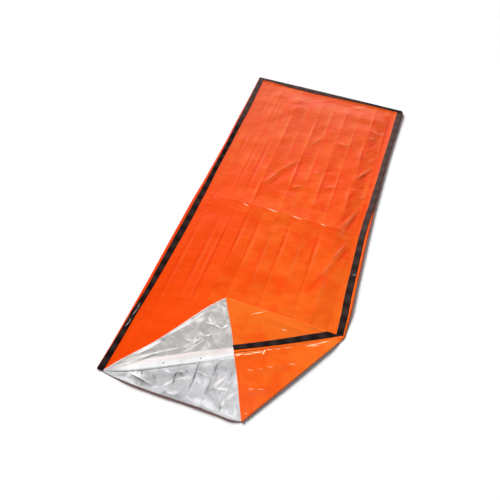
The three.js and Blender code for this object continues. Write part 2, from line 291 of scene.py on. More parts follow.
# Wrinkles of each layer, where they lie: from (across, along) to (across, along), sideways bow, half width,
# and rise (a trough where negative)
TOP_WRINKLES = (
    (285, 1110, 440, 1425, 12, 16, 1.3),
    (318, 1100, 475, 1410, 12, 18, -0.65),
    (230, 1072, 320, 1100, 4, 16, 0.65),
    (430, 1410, 515, 1520, 4, 15, -0.59),
    (440, 1310, 455, 1400, 2, 13, -0.45),
    (450, 1525, 520, 1620, 8, 16, 1.1),
    (480, 1515, 550, 1600, 6, 16, -0.45),
    (425, 1172, 520, 1236, 5, 15, 0.91),
    (440, 1150, 530, 1205, 5, 16, -0.45),
    (720, 1320, 832, 1505, 8, 16, 1.1),
    (750, 1310, 850, 1470, 6, 16, -0.52),
    (735, 1185, 775, 1290, 4, 14, -0.52),
    (785, 1225, 840, 1300, 4, 13, 0.78),
    (738, 1778, 806, 1742, 4, 13, 0.85),
    (792, 1742, 842, 1782, 4, 13, 0.78),
    (740, 1688, 795, 1714, 5, 14, 0.85),
    (755, 1628, 808, 1684, 4, 16, -0.59),
    (738, 1515, 742, 1615, 3, 13, -0.45),
    (235, 1808, 345, 1850, -4, 16, -0.72),
    (330, 1838, 440, 1906, -6, 16, -0.72),
    (415, 1892, 525, 1956, 4, 15, -0.59),
    (240, 1850, 350, 1905, -4, 20, 0.98),
    (245, 1938, 415, 1942, 0, 14, -0.52),
    (605, 1920, 700, 1966, 4, 14, 0.78),
    (833, 1560, 834, 1965, 4, 12, -0.52),
    (585, 1594, 675, 1596, 3, 15, 0.85),
    (585, 1556, 680, 1558, 3, 18, -0.52),
    (515, 1338, 575, 1343, 2, 14, 0.65),
    (580, 1350, 645, 1396, 3, 15, -0.52),
    (605, 1385, 670, 1420, 3, 14, 0.52),
    (600, 1250, 672, 1281, 3, 14, 0.78),
    (605, 1225, 680, 1250, 3, 15, -0.39),
    (633, 1095, 634, 1145, 2, 14, -0.45),
    (735, 985, 815, 1195, 6, 14, 0.85),
    (700, 955, 795, 1175, 6, 15, -0.45),
    (765, 990, 835, 1160, 4, 13, -0.52),
    (745, 805, 803, 965, 5, 14, 0.91),
    (775, 795, 828, 945, 4, 14, -0.52),
    (700, 690, 772, 855, 5, 15, 0.65),
    (730, 680, 800, 840, 5, 14, -0.39),
    (690, 600, 745, 765, 4, 16, -0.39),
    (640, 760, 700, 900, 5, 16, 0.45),
    (600, 850, 665, 935, -12, 15, -0.52),
    (400, 930, 480, 990, 4, 15, 0.52),
)
TURNED_WRINKLES = (
    (250, 300, 420, 345, 8, 14, 1.4),
    (270, 250, 350, 205, 6, 14, 1.2),
    (300, 380, 400, 400, -6, 14, 1.2),
)
FLAP_WRINKLES = ((500, 440, 840, 420, 6, 14, 1.2),)
INSIDE_WRINKLES = (
    (100, 30, 260, 8, 6, 12, 2.0),
    (374, 20, 372, 200, 3, 13, 2.0),
    (446, 40, 440, 230, 3, 13, 2.0),
    (512, 20, 506, 210, 3, 13, 1.8),
    (312, 20, 306, 110, 3, 12, 1.6),
)
UNDER_FLAP_WRINKLES = (
    (480, 222, 720, 362, 5, 14, 1.6),
    (560, 190, 740, 290, 4, 16, 1.0),
    (590, 115, 680, 165, 4, 16, 1.0),
)
WRINKLES = {
    "top": TOP_WRINKLES,
    "turned": TURNED_WRINKLES,
    "flap": FLAP_WRINKLES,
    "inside": INSIDE_WRINKLES,
    "under_flap": UNDER_FLAP_WRINKLES,
}

# Relief: how soon a wrinkle tapers off, lines pressed by the packing folds, and soft unevenness
WRINKLE_TAPER = 0.3
PRESSED_HALF_WIDTH = 5
PRESSED_RISE = 0.5
CROSS_PRESSED_RISE = 0.4
PRESSED_DEPTH = {"mean": 0.6, "swing": 0.4, "pitch": 130, "seed": 40}
NOISE_CELLS = 64
NOISE_SHIFT = 20
# Bumps of each layer: rise, pitch, seed
UNEVEN = {
    "top": ((1.1, 90, 3), (0.6, 45, 4)),
    "turned": ((0.5, 74, 11),),
    "flap": ((0.5, 80, 15),),
    "inside": ((0.6, 58, 21),),
    "under_flap": ((0.6, 85, 25),),
}
FAR_UNEVEN = 0.4
FAR_UNEVEN_RISE = (CROSS_FOLD - 60, CROSS_FOLD + 240)
INSIDE_PLEATS = 0.8
INSIDE_RISE = 1.6
# The relief of the top panel keeps clear of its taped borders: width of the border, rise at the right
# and at the left
RELIEF_BORDER = (38, 40, 40)

# Tone of the orange film, with painted light and shade: how much paler (above 0) or deeper (below 0), and
# where
# Unevenness: strength, pitch, squeeze along the bag, seed
TONE_UNEVEN = ((0.2, 70, 1, 31), (0.25, 34, 1.6, 32))
TONE_NEAR = (700, 1300)
# Painted shade: deeper at the near left
PAINTED_SHADE_LEFT = {"strength": -0.6, "across": (60, 420)}
# Painted light: paler at the near right
PAINTED_LIGHT_RIGHT = {"strength": 0.37, "across": (500, 850), "along": (600, 1000)}
# Painted light: paler in the near middle
PAINTED_LIGHT_MIDDLE = {"strength": 0.25, "across": (180, 450), "along": (950, 1300)}
# Darker along the left rim
TONE_RIM = (16, 30)
# Painted light and shade: each pleat strip runs from deeper to paler across, as a tilted facet would look
PAINTED_FACET_SHADING = {"far": 0.25, "near": -0.12, "right": (700, 800)}
# Painted shade: deeper in the valleys of the wrinkles
PAINTED_VALLEY_SHADE = 0.9
# Painted light: the flap is paler, most of all along its fold
PAINTED_FLAP_LIGHT = {"fold": 1.05, "mouth": 0.6, "down": (20, 170)}
# Painted light: the film under the flap is paler, most of all at the right
PAINTED_UNDER_FLAP_LIGHT = {"left": 0.42, "right": 1, "across": (620, 860)}
# Layers that show their silver side: the turned-back film and the bottom panel
SILVER_TONE = {"turned": 1, "inside": 0}

# Lines of the lengthwise packing folds, painted shade in the fold and painted sheen beside it: across, from
# and to along the bag, and strength
PLEAT_LINE_HALF_WIDTH = 6.5
PLEAT_SHADE = (
    (101, 130, 250, 0.7),
    (86, 250, 940, 1.1),
    (101, 1250, 1600, 0.85),
    (107, 1620, 1920, 0.57),
    (166, 330, 990, 1.8),
    (170, 1080, 1500, 0.47),
    (175, 1560, 1870, 0.66),
    (230, 310, 1000, 1.6),
    (232, 1040, 1590, 2.4),
    (237, 1540, 1820, 0.85),
    (294, 540, 1010, 1.52),
    (300, 1015, 1210, 1.04),
    (305, 1400, 1820, 0.76),
    (363, 590, 1010, 0.95),
    (375, 1330, 1660, 0.85),
    (380, 1600, 1920, 0.57),
    (433, 490, 1000, 0.66),
    (446, 1180, 1440, 2.4),
    (449, 1470, 1780, 1.04),
    (507, 670, 1010, 0.95),
    (521, 1220, 1510, 0.76),
    (520, 1550, 1910, 1.04),
    (594, 1100, 1470, 1.14),
    (597, 1590, 1930, 0.85),
    (656, 700, 1010, 1.23),
    (668, 1040, 1520, 1.04),
    (670, 1460, 1820, 0.95),
    (753, 1150, 1320, 1.04),
    (745, 1440, 1670, 2),
    (748, 1740, 1940, 1.14),
)
PLEAT_SHEEN = (
    (114, 1250, 1600, 0.54),
    (124, 1620, 1920, 0.65),
    (187, 1080, 1500, 0.54),
    (190, 1560, 1870, 0.54),
    (100, 300, 940, 0.3),
    (181, 360, 990, 0.34),
    (214, 330, 990, 0.38),
    (246, 1040, 1590, 0.65),
    (309, 650, 1000, 0.43),
    (283, 1015, 1210, 0.76),
    (288, 1400, 1820, 0.65),
    (379, 590, 1000, 0.43),
    (360, 1330, 1660, 0.65),
    (360, 1600, 1920, 0.43),
    (447, 490, 1000, 0.32),
    (430, 1180, 1440, 0.98),
    (432, 1470, 1780, 0.87),
    (521, 670, 1000, 0.38),
    (505, 1220, 1510, 0.7),
    (503, 1550, 1910, 0.92),
    (595, 590, 970, 0.38),
    (579, 1100, 1470, 0.7),
    (580, 1590, 1930, 0.7),
    (672, 700, 1000, 0.6),
    (655, 1040, 1520, 0.6),
    (656, 1460, 1820, 0.6),
    (748, 550, 810, 0.32),
    (730, 1150, 1320, 0.98),
    (730, 1440, 1670, 0.98),
    (736, 1740, 1940, 0.7),
)

# Creases too fine for the mesh, drawn as bump, with painted sheen along the raised ones and painted shade
# along
# the sunken ones: from (across, along) to (across, along), half width, rise
RAISED_HIGHLIGHT = 0.85
SUNKEN_SHADE = 0.85
SUNKEN_BUMP = 0.7
CREASE_BUMP = 0.6
FILM_CREASES = (
    (300, 1165, 360, 1293, 9, 1.23),
    (350, 1275, 430, 1400, 9, 1.23),
    (330, 1150, 385, 1270, 10, -1.23),
    (448, 1315, 449, 1395, 8, -1.17),
    (438, 1405, 495, 1488, 9, -1.23),
    (460, 1530, 502, 1608, 12, 1.17),
    (438, 1186, 508, 1229, 8, 1.23),
    (735, 1345, 815, 1488, 12, 1.37),
    (762, 1358, 798, 1442, 9, -1.37),
    (745, 1772, 804, 1745, 12, 1.37),
    (794, 1744, 830, 1776, 12, 1.37),
    (748, 1690, 786, 1710, 12, 1.23),
    (762, 1632, 798, 1680, 9, -1.23),
    (740, 1523, 741, 1610, 8, -1.17),
    (252, 1816, 340, 1850, 10, -1.23),
    (328, 1842, 366, 1886, 10, -1.23),
    (352, 1876, 434, 1903, 10, -1.23),
    (420, 1895, 515, 1952, 10, -1.17),
    (255, 1940, 408, 1941, 10, -1.17),
    (610, 1922, 695, 1963, 12, 1.17),
    (833, 1570, 833, 1970, 9, -1.37),
    (590, 1594, 668, 1595, 12, 1.17),
    (522, 1339, 568, 1341, 8, 1.17),
    (586, 1355, 634, 1392, 9, -1.17),
    (602, 1252, 668, 1278, 8, 1.17),
    (633, 1100, 634, 1140, 9, -0.91),
    (737, 1190, 763, 1275, 9, -1.23),
    (794, 1242, 826, 1288, 8, 1.23),
    (738, 990, 812, 1190, 9, 1.17),
    (760, 1000, 820, 1160, 8, -0.91),
    (700, 960, 790, 1170, 9, -0.85),
    (748, 815, 798, 955, 9, 1.23),
    (716, 700, 770, 850, 9, 0.91),
    (770, 800, 820, 940, 9, -1.17),
    (690, 610, 740, 760, 10, -0.85),
    (667, 1959, 761, 1966, 8, -0.9),
    (833, 1922, 835, 1824, 7, -1),
    (835, 1824, 836, 1730, 7, -1),
    (834, 1760, 833, 1645, 7, -1.1),
    (755, 1605, 790, 1665, 13, -1.3),
    (796, 1421, 831, 1471, 12, -1.2),
    (786, 1730, 822, 1731, 8, -0.9),
    (753, 1670, 789, 1689, 8, -0.9),
    (594, 1576, 651, 1570, 13, -0.9),
    (769, 1830, 799, 1850, 8, -0.7),
    (763, 1498, 774, 1524, 8, -0.8),
    (759, 1365, 811, 1435, 14, -1.3),
    (782, 1294, 803, 1347, 10, -1.3),
    (747, 1204, 758, 1254, 11, -1.1),
    (754, 1246, 793, 1271, 9, -1),
    (746, 1138, 754, 1190, 10, -1),
    (750, 1045, 748, 1125, 9, -0.9),
    (725, 975, 748, 1042, 9, -0.9),
    (774, 996, 795, 1074, 11, -1),
    (792, 1063, 811, 1140, 11, -1),
    (808, 1129, 815, 1181, 10, -0.9),
    (825, 1022, 828, 1108, 8, -0.9),
    (827, 1096, 829, 1179, 8, -0.9),
    (829, 1171, 834, 1238, 8, -1),
    (829, 1321, 836, 1368, 8, -1),
    (637, 1082, 646, 1127, 11, -0.8),
    (642, 1123, 681, 1130, 10, -0.7),
    (593, 1259, 643, 1283, 9, -0.8),
    (782, 1513, 817, 1559, 11, 0.9),
    (751, 1530, 773, 1579, 8, 0.7),
    (769, 1575, 804, 1598, 8, 0.7),
    (773, 1861, 802, 1890, 8, 0.7),
    (756, 1913, 787, 1921, 8, 0.5),
    (820, 1666, 821, 1598, 6, 0.7),
    (821, 1606, 823, 1549, 6, 0.7),
    (787, 1277, 820, 1295, 7, 0.8),
    (800, 1247, 823, 1260, 7, 0.8),
    (750, 963, 772, 1034, 10, 0.7),
    (769, 1027, 780, 1096, 10, 0.7),
    (829, 1277, 848, 1308, 6, 0.7),
    (746, 1271, 764, 1306, 9, 0.8),
)
# Facets of the crushed silver film: size and tilt of the larger and the smaller ones, how far they are bent
# out of shape, and the middle of their random directions
FACETS = ((42, 0.22), (16, 0.16))
FACET_WARP = (0.03, 0.03, 0)
FACET_CENTRE = (0.5, 0.5, 0.5)
SILVER_CREASES = (
    (328, 332, 382, 332, 5, 0.7),
    (370, 334, 412, 322, 5, 0.7),
    (402, 318, 432, 358, 5, 0.7),
    (322, 286, 358, 268, 5, 0.63),
    (348, 267, 380, 291, 5, 0.63),
    (276, 234, 330, 242, 5, 0.56),
    (362, 270, 326, 213, 5, 0.56),
    (30, 26, 272, 184, 5, 0.63),
    (60, 60, 220, 172, 5, -0.49),
    (380, 22, 377, 184, 6, -0.5),
    (446, 82, 443, 212, 6, -0.5),
    (512, 22, 508, 203, 6, -0.5),
    (312, 24, 306, 94, 6, -0.7),
    (370, 121, 466, 125, 5, 0.63),
    (462, 68, 504, 160, 7, 0.7),
    (514, 53, 551, 100, 7, 0.7),
    (312, 62, 376, 91, 5, 0.63),
    (118, 34, 247, 10, 6, 0.77),
    (266, 8, 304, 51, 5, 0.7),
    (236, 104, 246, 114, 5, -0.7),
    (369, 172, 379, 180, 5, -0.7),
)

# Painted glints where the film was creased hardest: from (across, along) to (across, along), half width,
# strength
FILM_GLINTS = (
    (247, 1007, 287, 996, 2.06, 1.86),
    (369, 1014, 442, 1006, 2.06, 1.86),
    (499, 1013, 563, 1005, 2.06, 1.86),
    (645, 1013, 682, 1007, 2.06, 1.67),
    (92, 1001, 120, 999, 2.43, 0.42),
    (490, 428, 557, 469, 1.87, 1.5),
    (636, 411, 664, 413, 2.06, 1.34),
    (752, 372, 800, 404, 1.87, 2.7),
    (772, 378, 812, 405, 1.5, 1.8),
    (790, 398, 842, 433, 2.06, 1.68),
    (492, 236, 530, 258, 2.24, 2.31),
    (500, 232, 516, 250, 1.87, 1.47),
    (524, 250, 566, 272, 2.06, 2.7),
    (556, 270, 600, 292, 2.24, 3.3),
    (600, 278, 604, 304, 2.99, 3.3),
    (606, 303, 632, 316, 1.87, 0.74),
    (640, 318, 664, 330, 1.87, 0.66),
    (672, 336, 704, 352, 1.87, 0.66),
    (560, 197, 590, 205, 1.87, 0.83),
    (607, 218, 618, 222, 1.87, 0.74),
    (632, 236, 660, 244, 1.87, 0.66),
    (708, 276, 742, 287, 1.87, 0.91),
    (588, 124, 618, 135, 1.87, 0.83),
    (622, 136, 659, 149, 1.87, 0.58),
    (608, 32, 624, 38, 1.87, 0.74),
)

# Painted highlights of the silver side: from (across, along) to (across, along), half width, strength
SILVER_GLINTS = (
    (30, 4, 340, 158, 15, 2.4),
    (290, 132, 600, 294, 15, 2.4),
    (190, 83, 440, 212, 15, 2.2),
    (432, 8, 507, 8, 2.2, 1),
    (526, 9, 606, 7, 2.2, 1.12),
    (110, 36, 248, 17, 2.9, 2.5),
    (228, 0, 267, 23, 2.9, 1.88),
    (275, 26, 309, 68, 2.9, 1.88),
    (296, 10, 325, 11, 3.6, 1.88),
    (303, 61, 364, 101, 4.3, 1.62),
    (247, 88, 289, 84, 3.6, 1.5),
    (306, 100, 340, 110, 3.6, 1.62),
    (375, 128, 437, 120, 2.2, 1.25),
    (466, 88, 531, 101, 5, 1.38),
    (554, 60, 592, 9, 3.6, 1.12),
    (46, 18, 189, 138, 2.9, 2.5),
    (117, 89, 253, 181, 2.9, 2.5),
    (202, 147, 288, 201, 2.9, 1.88),
    (105, 91, 202, 207, 9, 2),
    (188, 201, 284, 334, 7.5, 1.4),
    (270, 313, 322, 396, 5, 1.12),
    (329, 331, 373, 335, 3.2, 1.88),
    (365, 336, 405, 328, 3.2, 1.88),
    (398, 326, 430, 360, 3.2, 1.62),
    (275, 235, 316, 234, 3.6, 2),
    (309, 231, 343, 259, 3.6, 1.88),
    (318, 282, 352, 273, 3.2, 1.75),
    (346, 272, 375, 289, 2.9, 1.62),
    (286, 172, 317, 204, 2.5, 1.5),
    (309, 194, 364, 267, 2.5, 1.62),
    (355, 262, 395, 239, 2.2, 1.25),
    (354, 431, 397, 412, 3.6, 1.12),
)
# Painted reflection: the pale pink band along the crease and pale patches, in the same form
SILVER_SHEEN = (
    (50, 22, 340, 184, 18, 2.2),
    (300, 162, 600, 316, 18, 2.2),
    (200, 107, 440, 236, 18, 2),
    (452, 81, 490, 143, 8, 1.3),
    (521, 28, 519, 60, 7, 1.2),
    (519, 52, 555, 103, 7, 1.2),
)
# Painted shade of the silver side, dark lines, dots and bands, in the same form
SILVER_SHADE = (
    (372, 176, 374, 112, 4, 0.8),
    (374, 132, 378, 74, 5.5, 1.25),
    (378, 94, 376, 34, 4.5, 0.7),
    (442, 198, 446, 116, 4.5, 0.7),
    (446, 126, 441, 34, 4.5, 0.6),
    (510, 190, 512, 126, 4.5, 0.6),
    (305, 99, 303, 68, 5, 1.1),
    (303, 75, 312, 39, 4.5, 1.1),
    (173, 57, 180, 31, 5, 1.0),
    (514, 37, 518, 5, 6, 1.0),
    (239, 114, 239, 106, 3.5, 2.0),
    (371, 184, 371, 176, 3.5, 1.8),
    (118, 26, 228, 12, 4, 0.8),
    (92, 42, 225, 155, 4.5, 0.6),
    (186, 192, 210, 208, 6, 0.5),
    (212, 218, 239, 212, 6, 0.45),
    (150, 48, 240, 62, 14, 0.45),
    (50, 10, 370, 2, 24, 0.5),
    (250, 2, 560, 4, 24, 0.5),
)

# Scuffed threads of the tapes, in the same form
TAPE_SCUFFS = (
    (23, 258, 30, 300, 1.8, 1.6),
    (30, 292, 26, 326, 1.6, 1.4),
    (18, 200, 27, 232, 1.8, 1.6),
    (27, 226, 21, 246, 1.6, 1.2),
    (858, 785, 880, 787, 2.0, 1.0),
)

# Sizes of the fine patterns in millimetres. The real ribs of the tape are about 1 mm apart, too fine to show,
# so soft bands are drawn in their place.
CRINKLE_SIZE = 20
SILVER_UNEVEN_SIZE = 55
SILVER_UNEVEN_RISE = 2.2
SILVER_HAZE_SIZE = 45
TAPE_BAND_PITCH = 69.1
TAPE_BAND_RISE = 0.8
TAPE_PATCH_SIZE = 60
FLOOR_PATCH_SIZE = 400
# The wave pattern turns its place into an angle by this factor
WAVE_FACTOR = 20
# The crinkles are longer across the bag than along it, and the bands of the tape are this much paler
CRINKLE_STRETCH = (0.35, 1, 1)
TAPE_BAND_FADE = 0.5

# Ranges of a value, and of what it is turned into
FILM_ROUGHNESS = (0.3, 0.7, 0.16, 0.22)
SILVER_ROUGHNESS = (0.3, 0.7, 0.26, 0.34)
SILVER_METAL = (0, 1, 0.42, 0.08)
SILVER_CRUSHED = (0, 1, 1, 0.2)
# Painted shade: the orange film is drawn darker towards the foot at the left: direction, and range along it
# in metres
FAR_SHADE_DIRECTION = (-0.6, 1, 0)
FAR_SHADE_RANGE = (0.95, 1.45, 0, 1)

# Stage: brightness of the walls by direction, floor, camera and lights
WALL_BEHIND = (0.3, 0.7, 0.22, 1)
WALL_SIDE = (-0.08, 0.1, 1, 0.5)
WALL_HEIGHT = (0.38, 0.82)
FLOOR = {"cells": 8, "size": 14, "place": (0, 1, 0)}
SENSOR_WIDTH = 36
KEY_LIGHT = {"heading": (-0.8, 0.6), "elevation": math.radians(28), "spread": math.radians(26)}
FILL_LIGHT = {"place": (2.3, -1.7, 1.7), "aim": (0.1, -0.3, 0), "size": 1.8}
SOFTBOX = {"place": (0.1, -0.75, 3), "aim": (0.1, -0.75, 0), "size": 1.2}


def lerp(low, high, share):
    return low + (high - low) * share


def table_column(table, place, column):
    return np.interp(place, [row[0] for row in table], [row[column] for row in table])


def smoothstep(value, low, high):
    share = np.clip((value - low) / (high - low), 0, 1)
    return share * share * (3 - 2 * share)


def soft_noise(across, along, pitch, seed):
    """Smooth seeded bumps from -1 to 1, about pitch apart."""
    values = np.random.default_rng(seed).uniform(-1, 1, (NOISE_CELLS, NOISE_CELLS))
    column = across / pitch + NOISE_SHIFT
    row = along / pitch + NOISE_SHIFT
    left = np.floor(column).astype(int)
    low = np.floor(row).astype(int)
    aside = smoothstep(column - left, 0, 1)
    upwards = smoothstep(row - low, 0, 1)
    columns = (left % NOISE_CELLS, (left + 1) % NOISE_CELLS)
    rows = (low % NOISE_CELLS, (low + 1) % NOISE_CELLS)
    below = lerp(values[rows[0], columns[0]], values[rows[0], columns[1]], aside)
    above = lerp(values[rows[1], columns[0]], values[rows[1], columns[1]], aside)
    return lerp(below, above, upwards)


def crumple(across, along, pitch, seed):
    """Sharp little ridges between dents, as in foil that was balled and smoothed out again."""
    return 0.5 - np.abs(soft_noise(across, along, pitch, seed))


# Outline and height of the film where it lies flat


def rounded_corner(across, along):
    right = np.maximum(0, 1 - (BAG_WIDTH - across) / FOOT_CORNER_RADIUS)
    far = np.maximum(0, 1 - (BAG_LENGTH - along) / FOOT_CORNER_RADIUS)
    at_corner = (right > 0) & (far > 0)
    round_across = BAG_WIDTH - FOOT_CORNER_RADIUS * (1 - right * np.sqrt(1 - far * far / 2))
    round_along = BAG_LENGTH - FOOT_CORNER_RADIUS * (1 - far * np.sqrt(1 - right * right / 2))
    return np.where(at_corner, round_across, across), np.where(at_corner, round_along, along)


def drawn_in(across, along):
    """Place across the bag once the sides have drawn in."""
    left = table_column(LEFT_INSET, along, 1)
    right = table_column(RIGHT_INSET, along, 1)
    return across + lerp(left, -right, across / BAG_WIDTH)


def laid_out(across, along):
    """Place of a point of the flat part, with the corner rounded, the sides drawn in and the foot bowed."""
    across, along = rounded_corner(across, along)
    near_foot = smoothstep(along, BAG_LENGTH - FOOT_BOW_REACH, BAG_LENGTH)
    bow = FOOT_BOW * np.sin(math.pi * across / BAG_WIDTH) * near_foot
    return drawn_in(across, along), along + bow


def free_share(across, along, border=BORDER, rise=BORDER_RISE, left_rise=LEFT_RISE):
    """How free the top panel is of its taped borders, from 0 to 1."""
    left = smoothstep(across, border, border + left_rise)
    return left * right_share(across, along, border, rise)


def right_share(across, along, border=BORDER, rise=BORDER_RISE):
    """How free the top panel is of its right and foot borders, from 0 to 1."""
    right = smoothstep(BAG_WIDTH - across, border, border + rise)
    return right * smoothstep(BAG_LENGTH - along, border, border + rise)


def edge_lift(across, along):
    """How far the seams and the lip of the mouth curl up from the floor."""
    right = EDGE_CURL["right"] * smoothstep(across, BAG_WIDTH - CURL_REACH, BAG_WIDTH)
    right = right * smoothstep(along, *RIGHT_CURL_RISE)
    left = EDGE_CURL["left"] * (1 - smoothstep(across, 0, CURL_REACH))
    foot = EDGE_CURL["foot"] * smoothstep(along, BAG_LENGTH - CURL_REACH, BAG_LENGTH)
    mouth = EDGE_CURL["mouth"] * (1 - smoothstep(along, 0, LIP_REACH)) * smoothstep(across, *LIP_RISE)
    mouth = mouth * smoothstep(UNDER_CREASE_START - across, *LIP_END)
    return np.maximum.reduce([right, left, foot, mouth])


def crease_share(across, along):
    """How far the top panel stands up next to the crease that it is turned back on, up to 1 away from it."""
    back = along * (BAG_WIDTH - TOP_CREASE_START) - (across - TOP_CREASE_START) * FOLD_LENGTH
    back = back / math.hypot(BAG_WIDTH - TOP_CREASE_START, FOLD_LENGTH)
    return lerp(MOUTH_LOFT, 1, smoothstep(back, 0, MOUTH_LOFT_REACH))


def top_height(across, along):
    fold = CROSS_FOLD_RISE * np.maximum(0, 1 - np.abs(along - CROSS_FOLD) / CROSS_FOLD_REACH)
    pleat = np.interp(across, PLEAT_PLACES, PLEAT_RISES)
    loft = free_share(across, along) * crease_share(across, along)
    lying = TOP_HEIGHT + loft * (LOFT + PLEAT_SHOWN * pleat + fold)
    return lying + edge_lift(across, np.maximum(along, FOLD_LENGTH))


def ridge_height(across, along):
    """Height of the pleats' ridges, which the turned-back film lies on."""
    left = smoothstep(across, *TURNED_LEFT_RISE)
    share = left * right_share(across, along) * crease_share(across, along)
    return TOP_HEIGHT + share * (LOFT + HIGHEST_PLEAT)


def bottom_height(across, along):
    return BOTTOM_HEIGHT + edge_lift(across, along)


# Relief of the film: listed wrinkles, pressed packing creases and soft unevenness


def wrinkle(row, across, along):
    """Rise of one soft ridge or trough that tapers off at both ends."""
    from_across, from_along, to_across, to_along, bow, half_width, rise = row
    run_across = to_across - from_across
    run_along = to_along - from_along
    length = math.hypot(run_across, run_along)
    share = ((across - from_across) * run_across + (along - from_along) * run_along) / length**2
    aside = ((along - from_along) * run_across - (across - from_across) * run_along) / length
    inside = np.clip(share, 0, 1)
    aside = (aside - 4 * bow * inside * (1 - inside)) / half_width
    taper = smoothstep(share, 0, WRINKLE_TAPER) * smoothstep(1 - share, 0, WRINKLE_TAPER)
    return rise * taper * np.exp(-aside * aside)


def wrinkles(layer, across, along):
    total = np.zeros_like(across)
    for row in WRINKLES[layer]:
        total += wrinkle(row, across, along)
    return total


def pressed_line(distance):
    """Sharp rise of 1 along a line that fades to both sides."""
    return np.maximum(0, 1 - np.abs(distance) / PRESSED_HALF_WIDTH)


def pressed_creases(across, along):
    """Sharp lines left by the packing folds, deeper in some places than in others."""
    total = np.zeros_like(across)
    for number, (place, rise) in enumerate(PLEATS):
        swing = soft_noise(along, across * 0, PRESSED_DEPTH["pitch"], PRESSED_DEPTH["seed"] + number)
        depth = PRESSED_DEPTH["mean"] + PRESSED_DEPTH["swing"] * swing
        total += np.sign(rise) * PRESSED_RISE * depth * pressed_line(across - place)
    return total + CROSS_PRESSED_RISE * pressed_line(along - CROSS_FOLD)


def unevenness(layer, across, along):
    """Soft bumps of an orange layer, or the sharper dents of a silver one."""
    noise = crumple if layer in SILVER_TONE else soft_noise
    return sum(rise * noise(across, along, pitch, seed) for rise, pitch, seed in UNEVEN[layer])


def layer_relief(layer, across, along):
    """Rise of the wrinkles and bumps of one layer."""
    ridges = wrinkles(layer, across, along)
    bumps = unevenness(layer, across, along)
    if layer == "top":
        bumps = bumps * (1 + FAR_UNEVEN * smoothstep(along, *FAR_UNEVEN_RISE))
        return ridges + pressed_creases(across, along) + bumps
    if layer == "inside":
        pleats = INSIDE_PLEATS * np.interp(across, PLEAT_PLACES, PLEAT_RISES)
        return np.maximum(ridges + (bumps + pleats) + INSIDE_RISE, 0)
    return ridges + bumps


def relief_share(across, along):
    """How free the relief of the top panel is of the taped borders, from 0 to 1."""
    return free_share(across, along, *RELIEF_BORDER)


def top_surface(across, along):
    """Height of the flat part of the top panel with its relief, nowhere below its edges."""
    relief = relief_share(across, along) * layer_relief("top", *laid_out(across, along))
    return np.maximum(top_height(across, along) + relief, TOP_HEIGHT + edge_lift(across, along))


def tone_unevenness(across, along):
    total = np.zeros_like(across)
    for strength, pitch, squeeze, seed in TONE_UNEVEN:
        total += strength * soft_noise(across, along * squeeze, pitch, seed)
    return total


def top_tone_and_painted_light(across, along):
    near = 1 - smoothstep(along, *TONE_NEAR)
    left = (1 - smoothstep(across, *PAINTED_SHADE_LEFT["across"])) * near
    right = smoothstep(across, *PAINTED_LIGHT_RIGHT["across"]) * (1 - smoothstep(along, *PAINTED_LIGHT_RIGHT["along"]))
    middle = smoothstep(across, *PAINTED_LIGHT_MIDDLE["across"]) * (1 - smoothstep(along, *PAINTED_LIGHT_MIDDLE["along"]))
    rim = 1 - smoothstep(across, *TONE_RIM)
    strip = np.interp(across, PLEAT_PLACES, range(len(PLEAT_PLACES)))
    facet = (2 * (strip - np.floor(strip)) - 1) * lerp(PAINTED_FACET_SHADING["far"], PAINTED_FACET_SHADING["near"], near)
    facet = facet * (1 - smoothstep(across, *PAINTED_FACET_SHADING["right"]) * near)
    valleys = PAINTED_VALLEY_SHADE * np.minimum(wrinkles("top", across, along), 0)
    sides = PAINTED_LIGHT_RIGHT["strength"] * right + PAINTED_SHADE_LEFT["strength"] * left
    return sides + PAINTED_LIGHT_MIDDLE["strength"] * middle - rim + facet + tone_unevenness(across, along) + valleys


def film_tone_and_painted_light(layer, across, along):
    """Tone of the orange film, with painted light and shade: how much paler (up to 1) or deeper (down to -1)
    it is drawn than on the main part of the bag.

    On the silver side it tells the turned-back film (1) from the bottom panel (0).
    """
    if layer == "top":
        return top_tone_and_painted_light(across, along)
    if layer in SILVER_TONE:
        return np.full_like(across, SILVER_TONE[layer])
    uneven = tone_unevenness(across, along)
    if layer == "flap":
        down = smoothstep(FOLD_LENGTH - along, *PAINTED_FLAP_LIGHT["down"])
        return lerp(PAINTED_FLAP_LIGHT["fold"], PAINTED_FLAP_LIGHT["mouth"], down) + uneven
    right = smoothstep(across, *PAINTED_UNDER_FLAP_LIGHT["across"])
    return lerp(PAINTED_UNDER_FLAP_LIGHT["left"], PAINTED_UNDER_FLAP_LIGHT["right"], right) + uneven


# The folded corner is worked out on arcs about the fold point: sideways is the distance along such an arc.
# A section gives the sideways distance, the height, where the face looks (sideways, up), and the room to the
# nearest crease, over which the relief fades out.


def fold_plan(radius, sideways):
    turn = sideways / radius
    return BAG_WIDTH - radius * np.cos(turn), FOLD_LENGTH - radius * np.sin(turn)


def corner_plan(radius, sideways):
    """Place of a point of the folded corner, with the sides drawn in and the lip of the mouth bowed out."""
    x, y = fold_plan(radius, sideways)
    bow = table_column(MOUTH_BOW, x, 1)
    return drawn_in(x, y), y - bow * (1 - smoothstep(y, 0, MOUTH_BOW_REACH))


def edge_radius(angle):
    return BAG_WIDTH / math.cos(angle) if angle < MOUTH_CORNER else FOLD_LENGTH / math.sin(angle)


def roll_size(roll, share):
    """Half width and height of a roll, which grow with the share."""
    return roll["half_width"] + roll["more_width"] * share, roll["height"] + roll["more_height"] * share


def top_roll(radius):
    """Half width and height of the roll, and where its middle lies."""
    out = np.minimum(radius / TOP_CREASE_LENGTH, 1)
    half_width, height = roll_size(TOP_ROLL, np.sin(math.pi * out))
    bow = TOP_ROLL["bow"] * np.sin(math.pi * out ** TOP_ROLL["bow_skew"])
    return half_width, height, radius * TOP_CREASE + bow - half_width


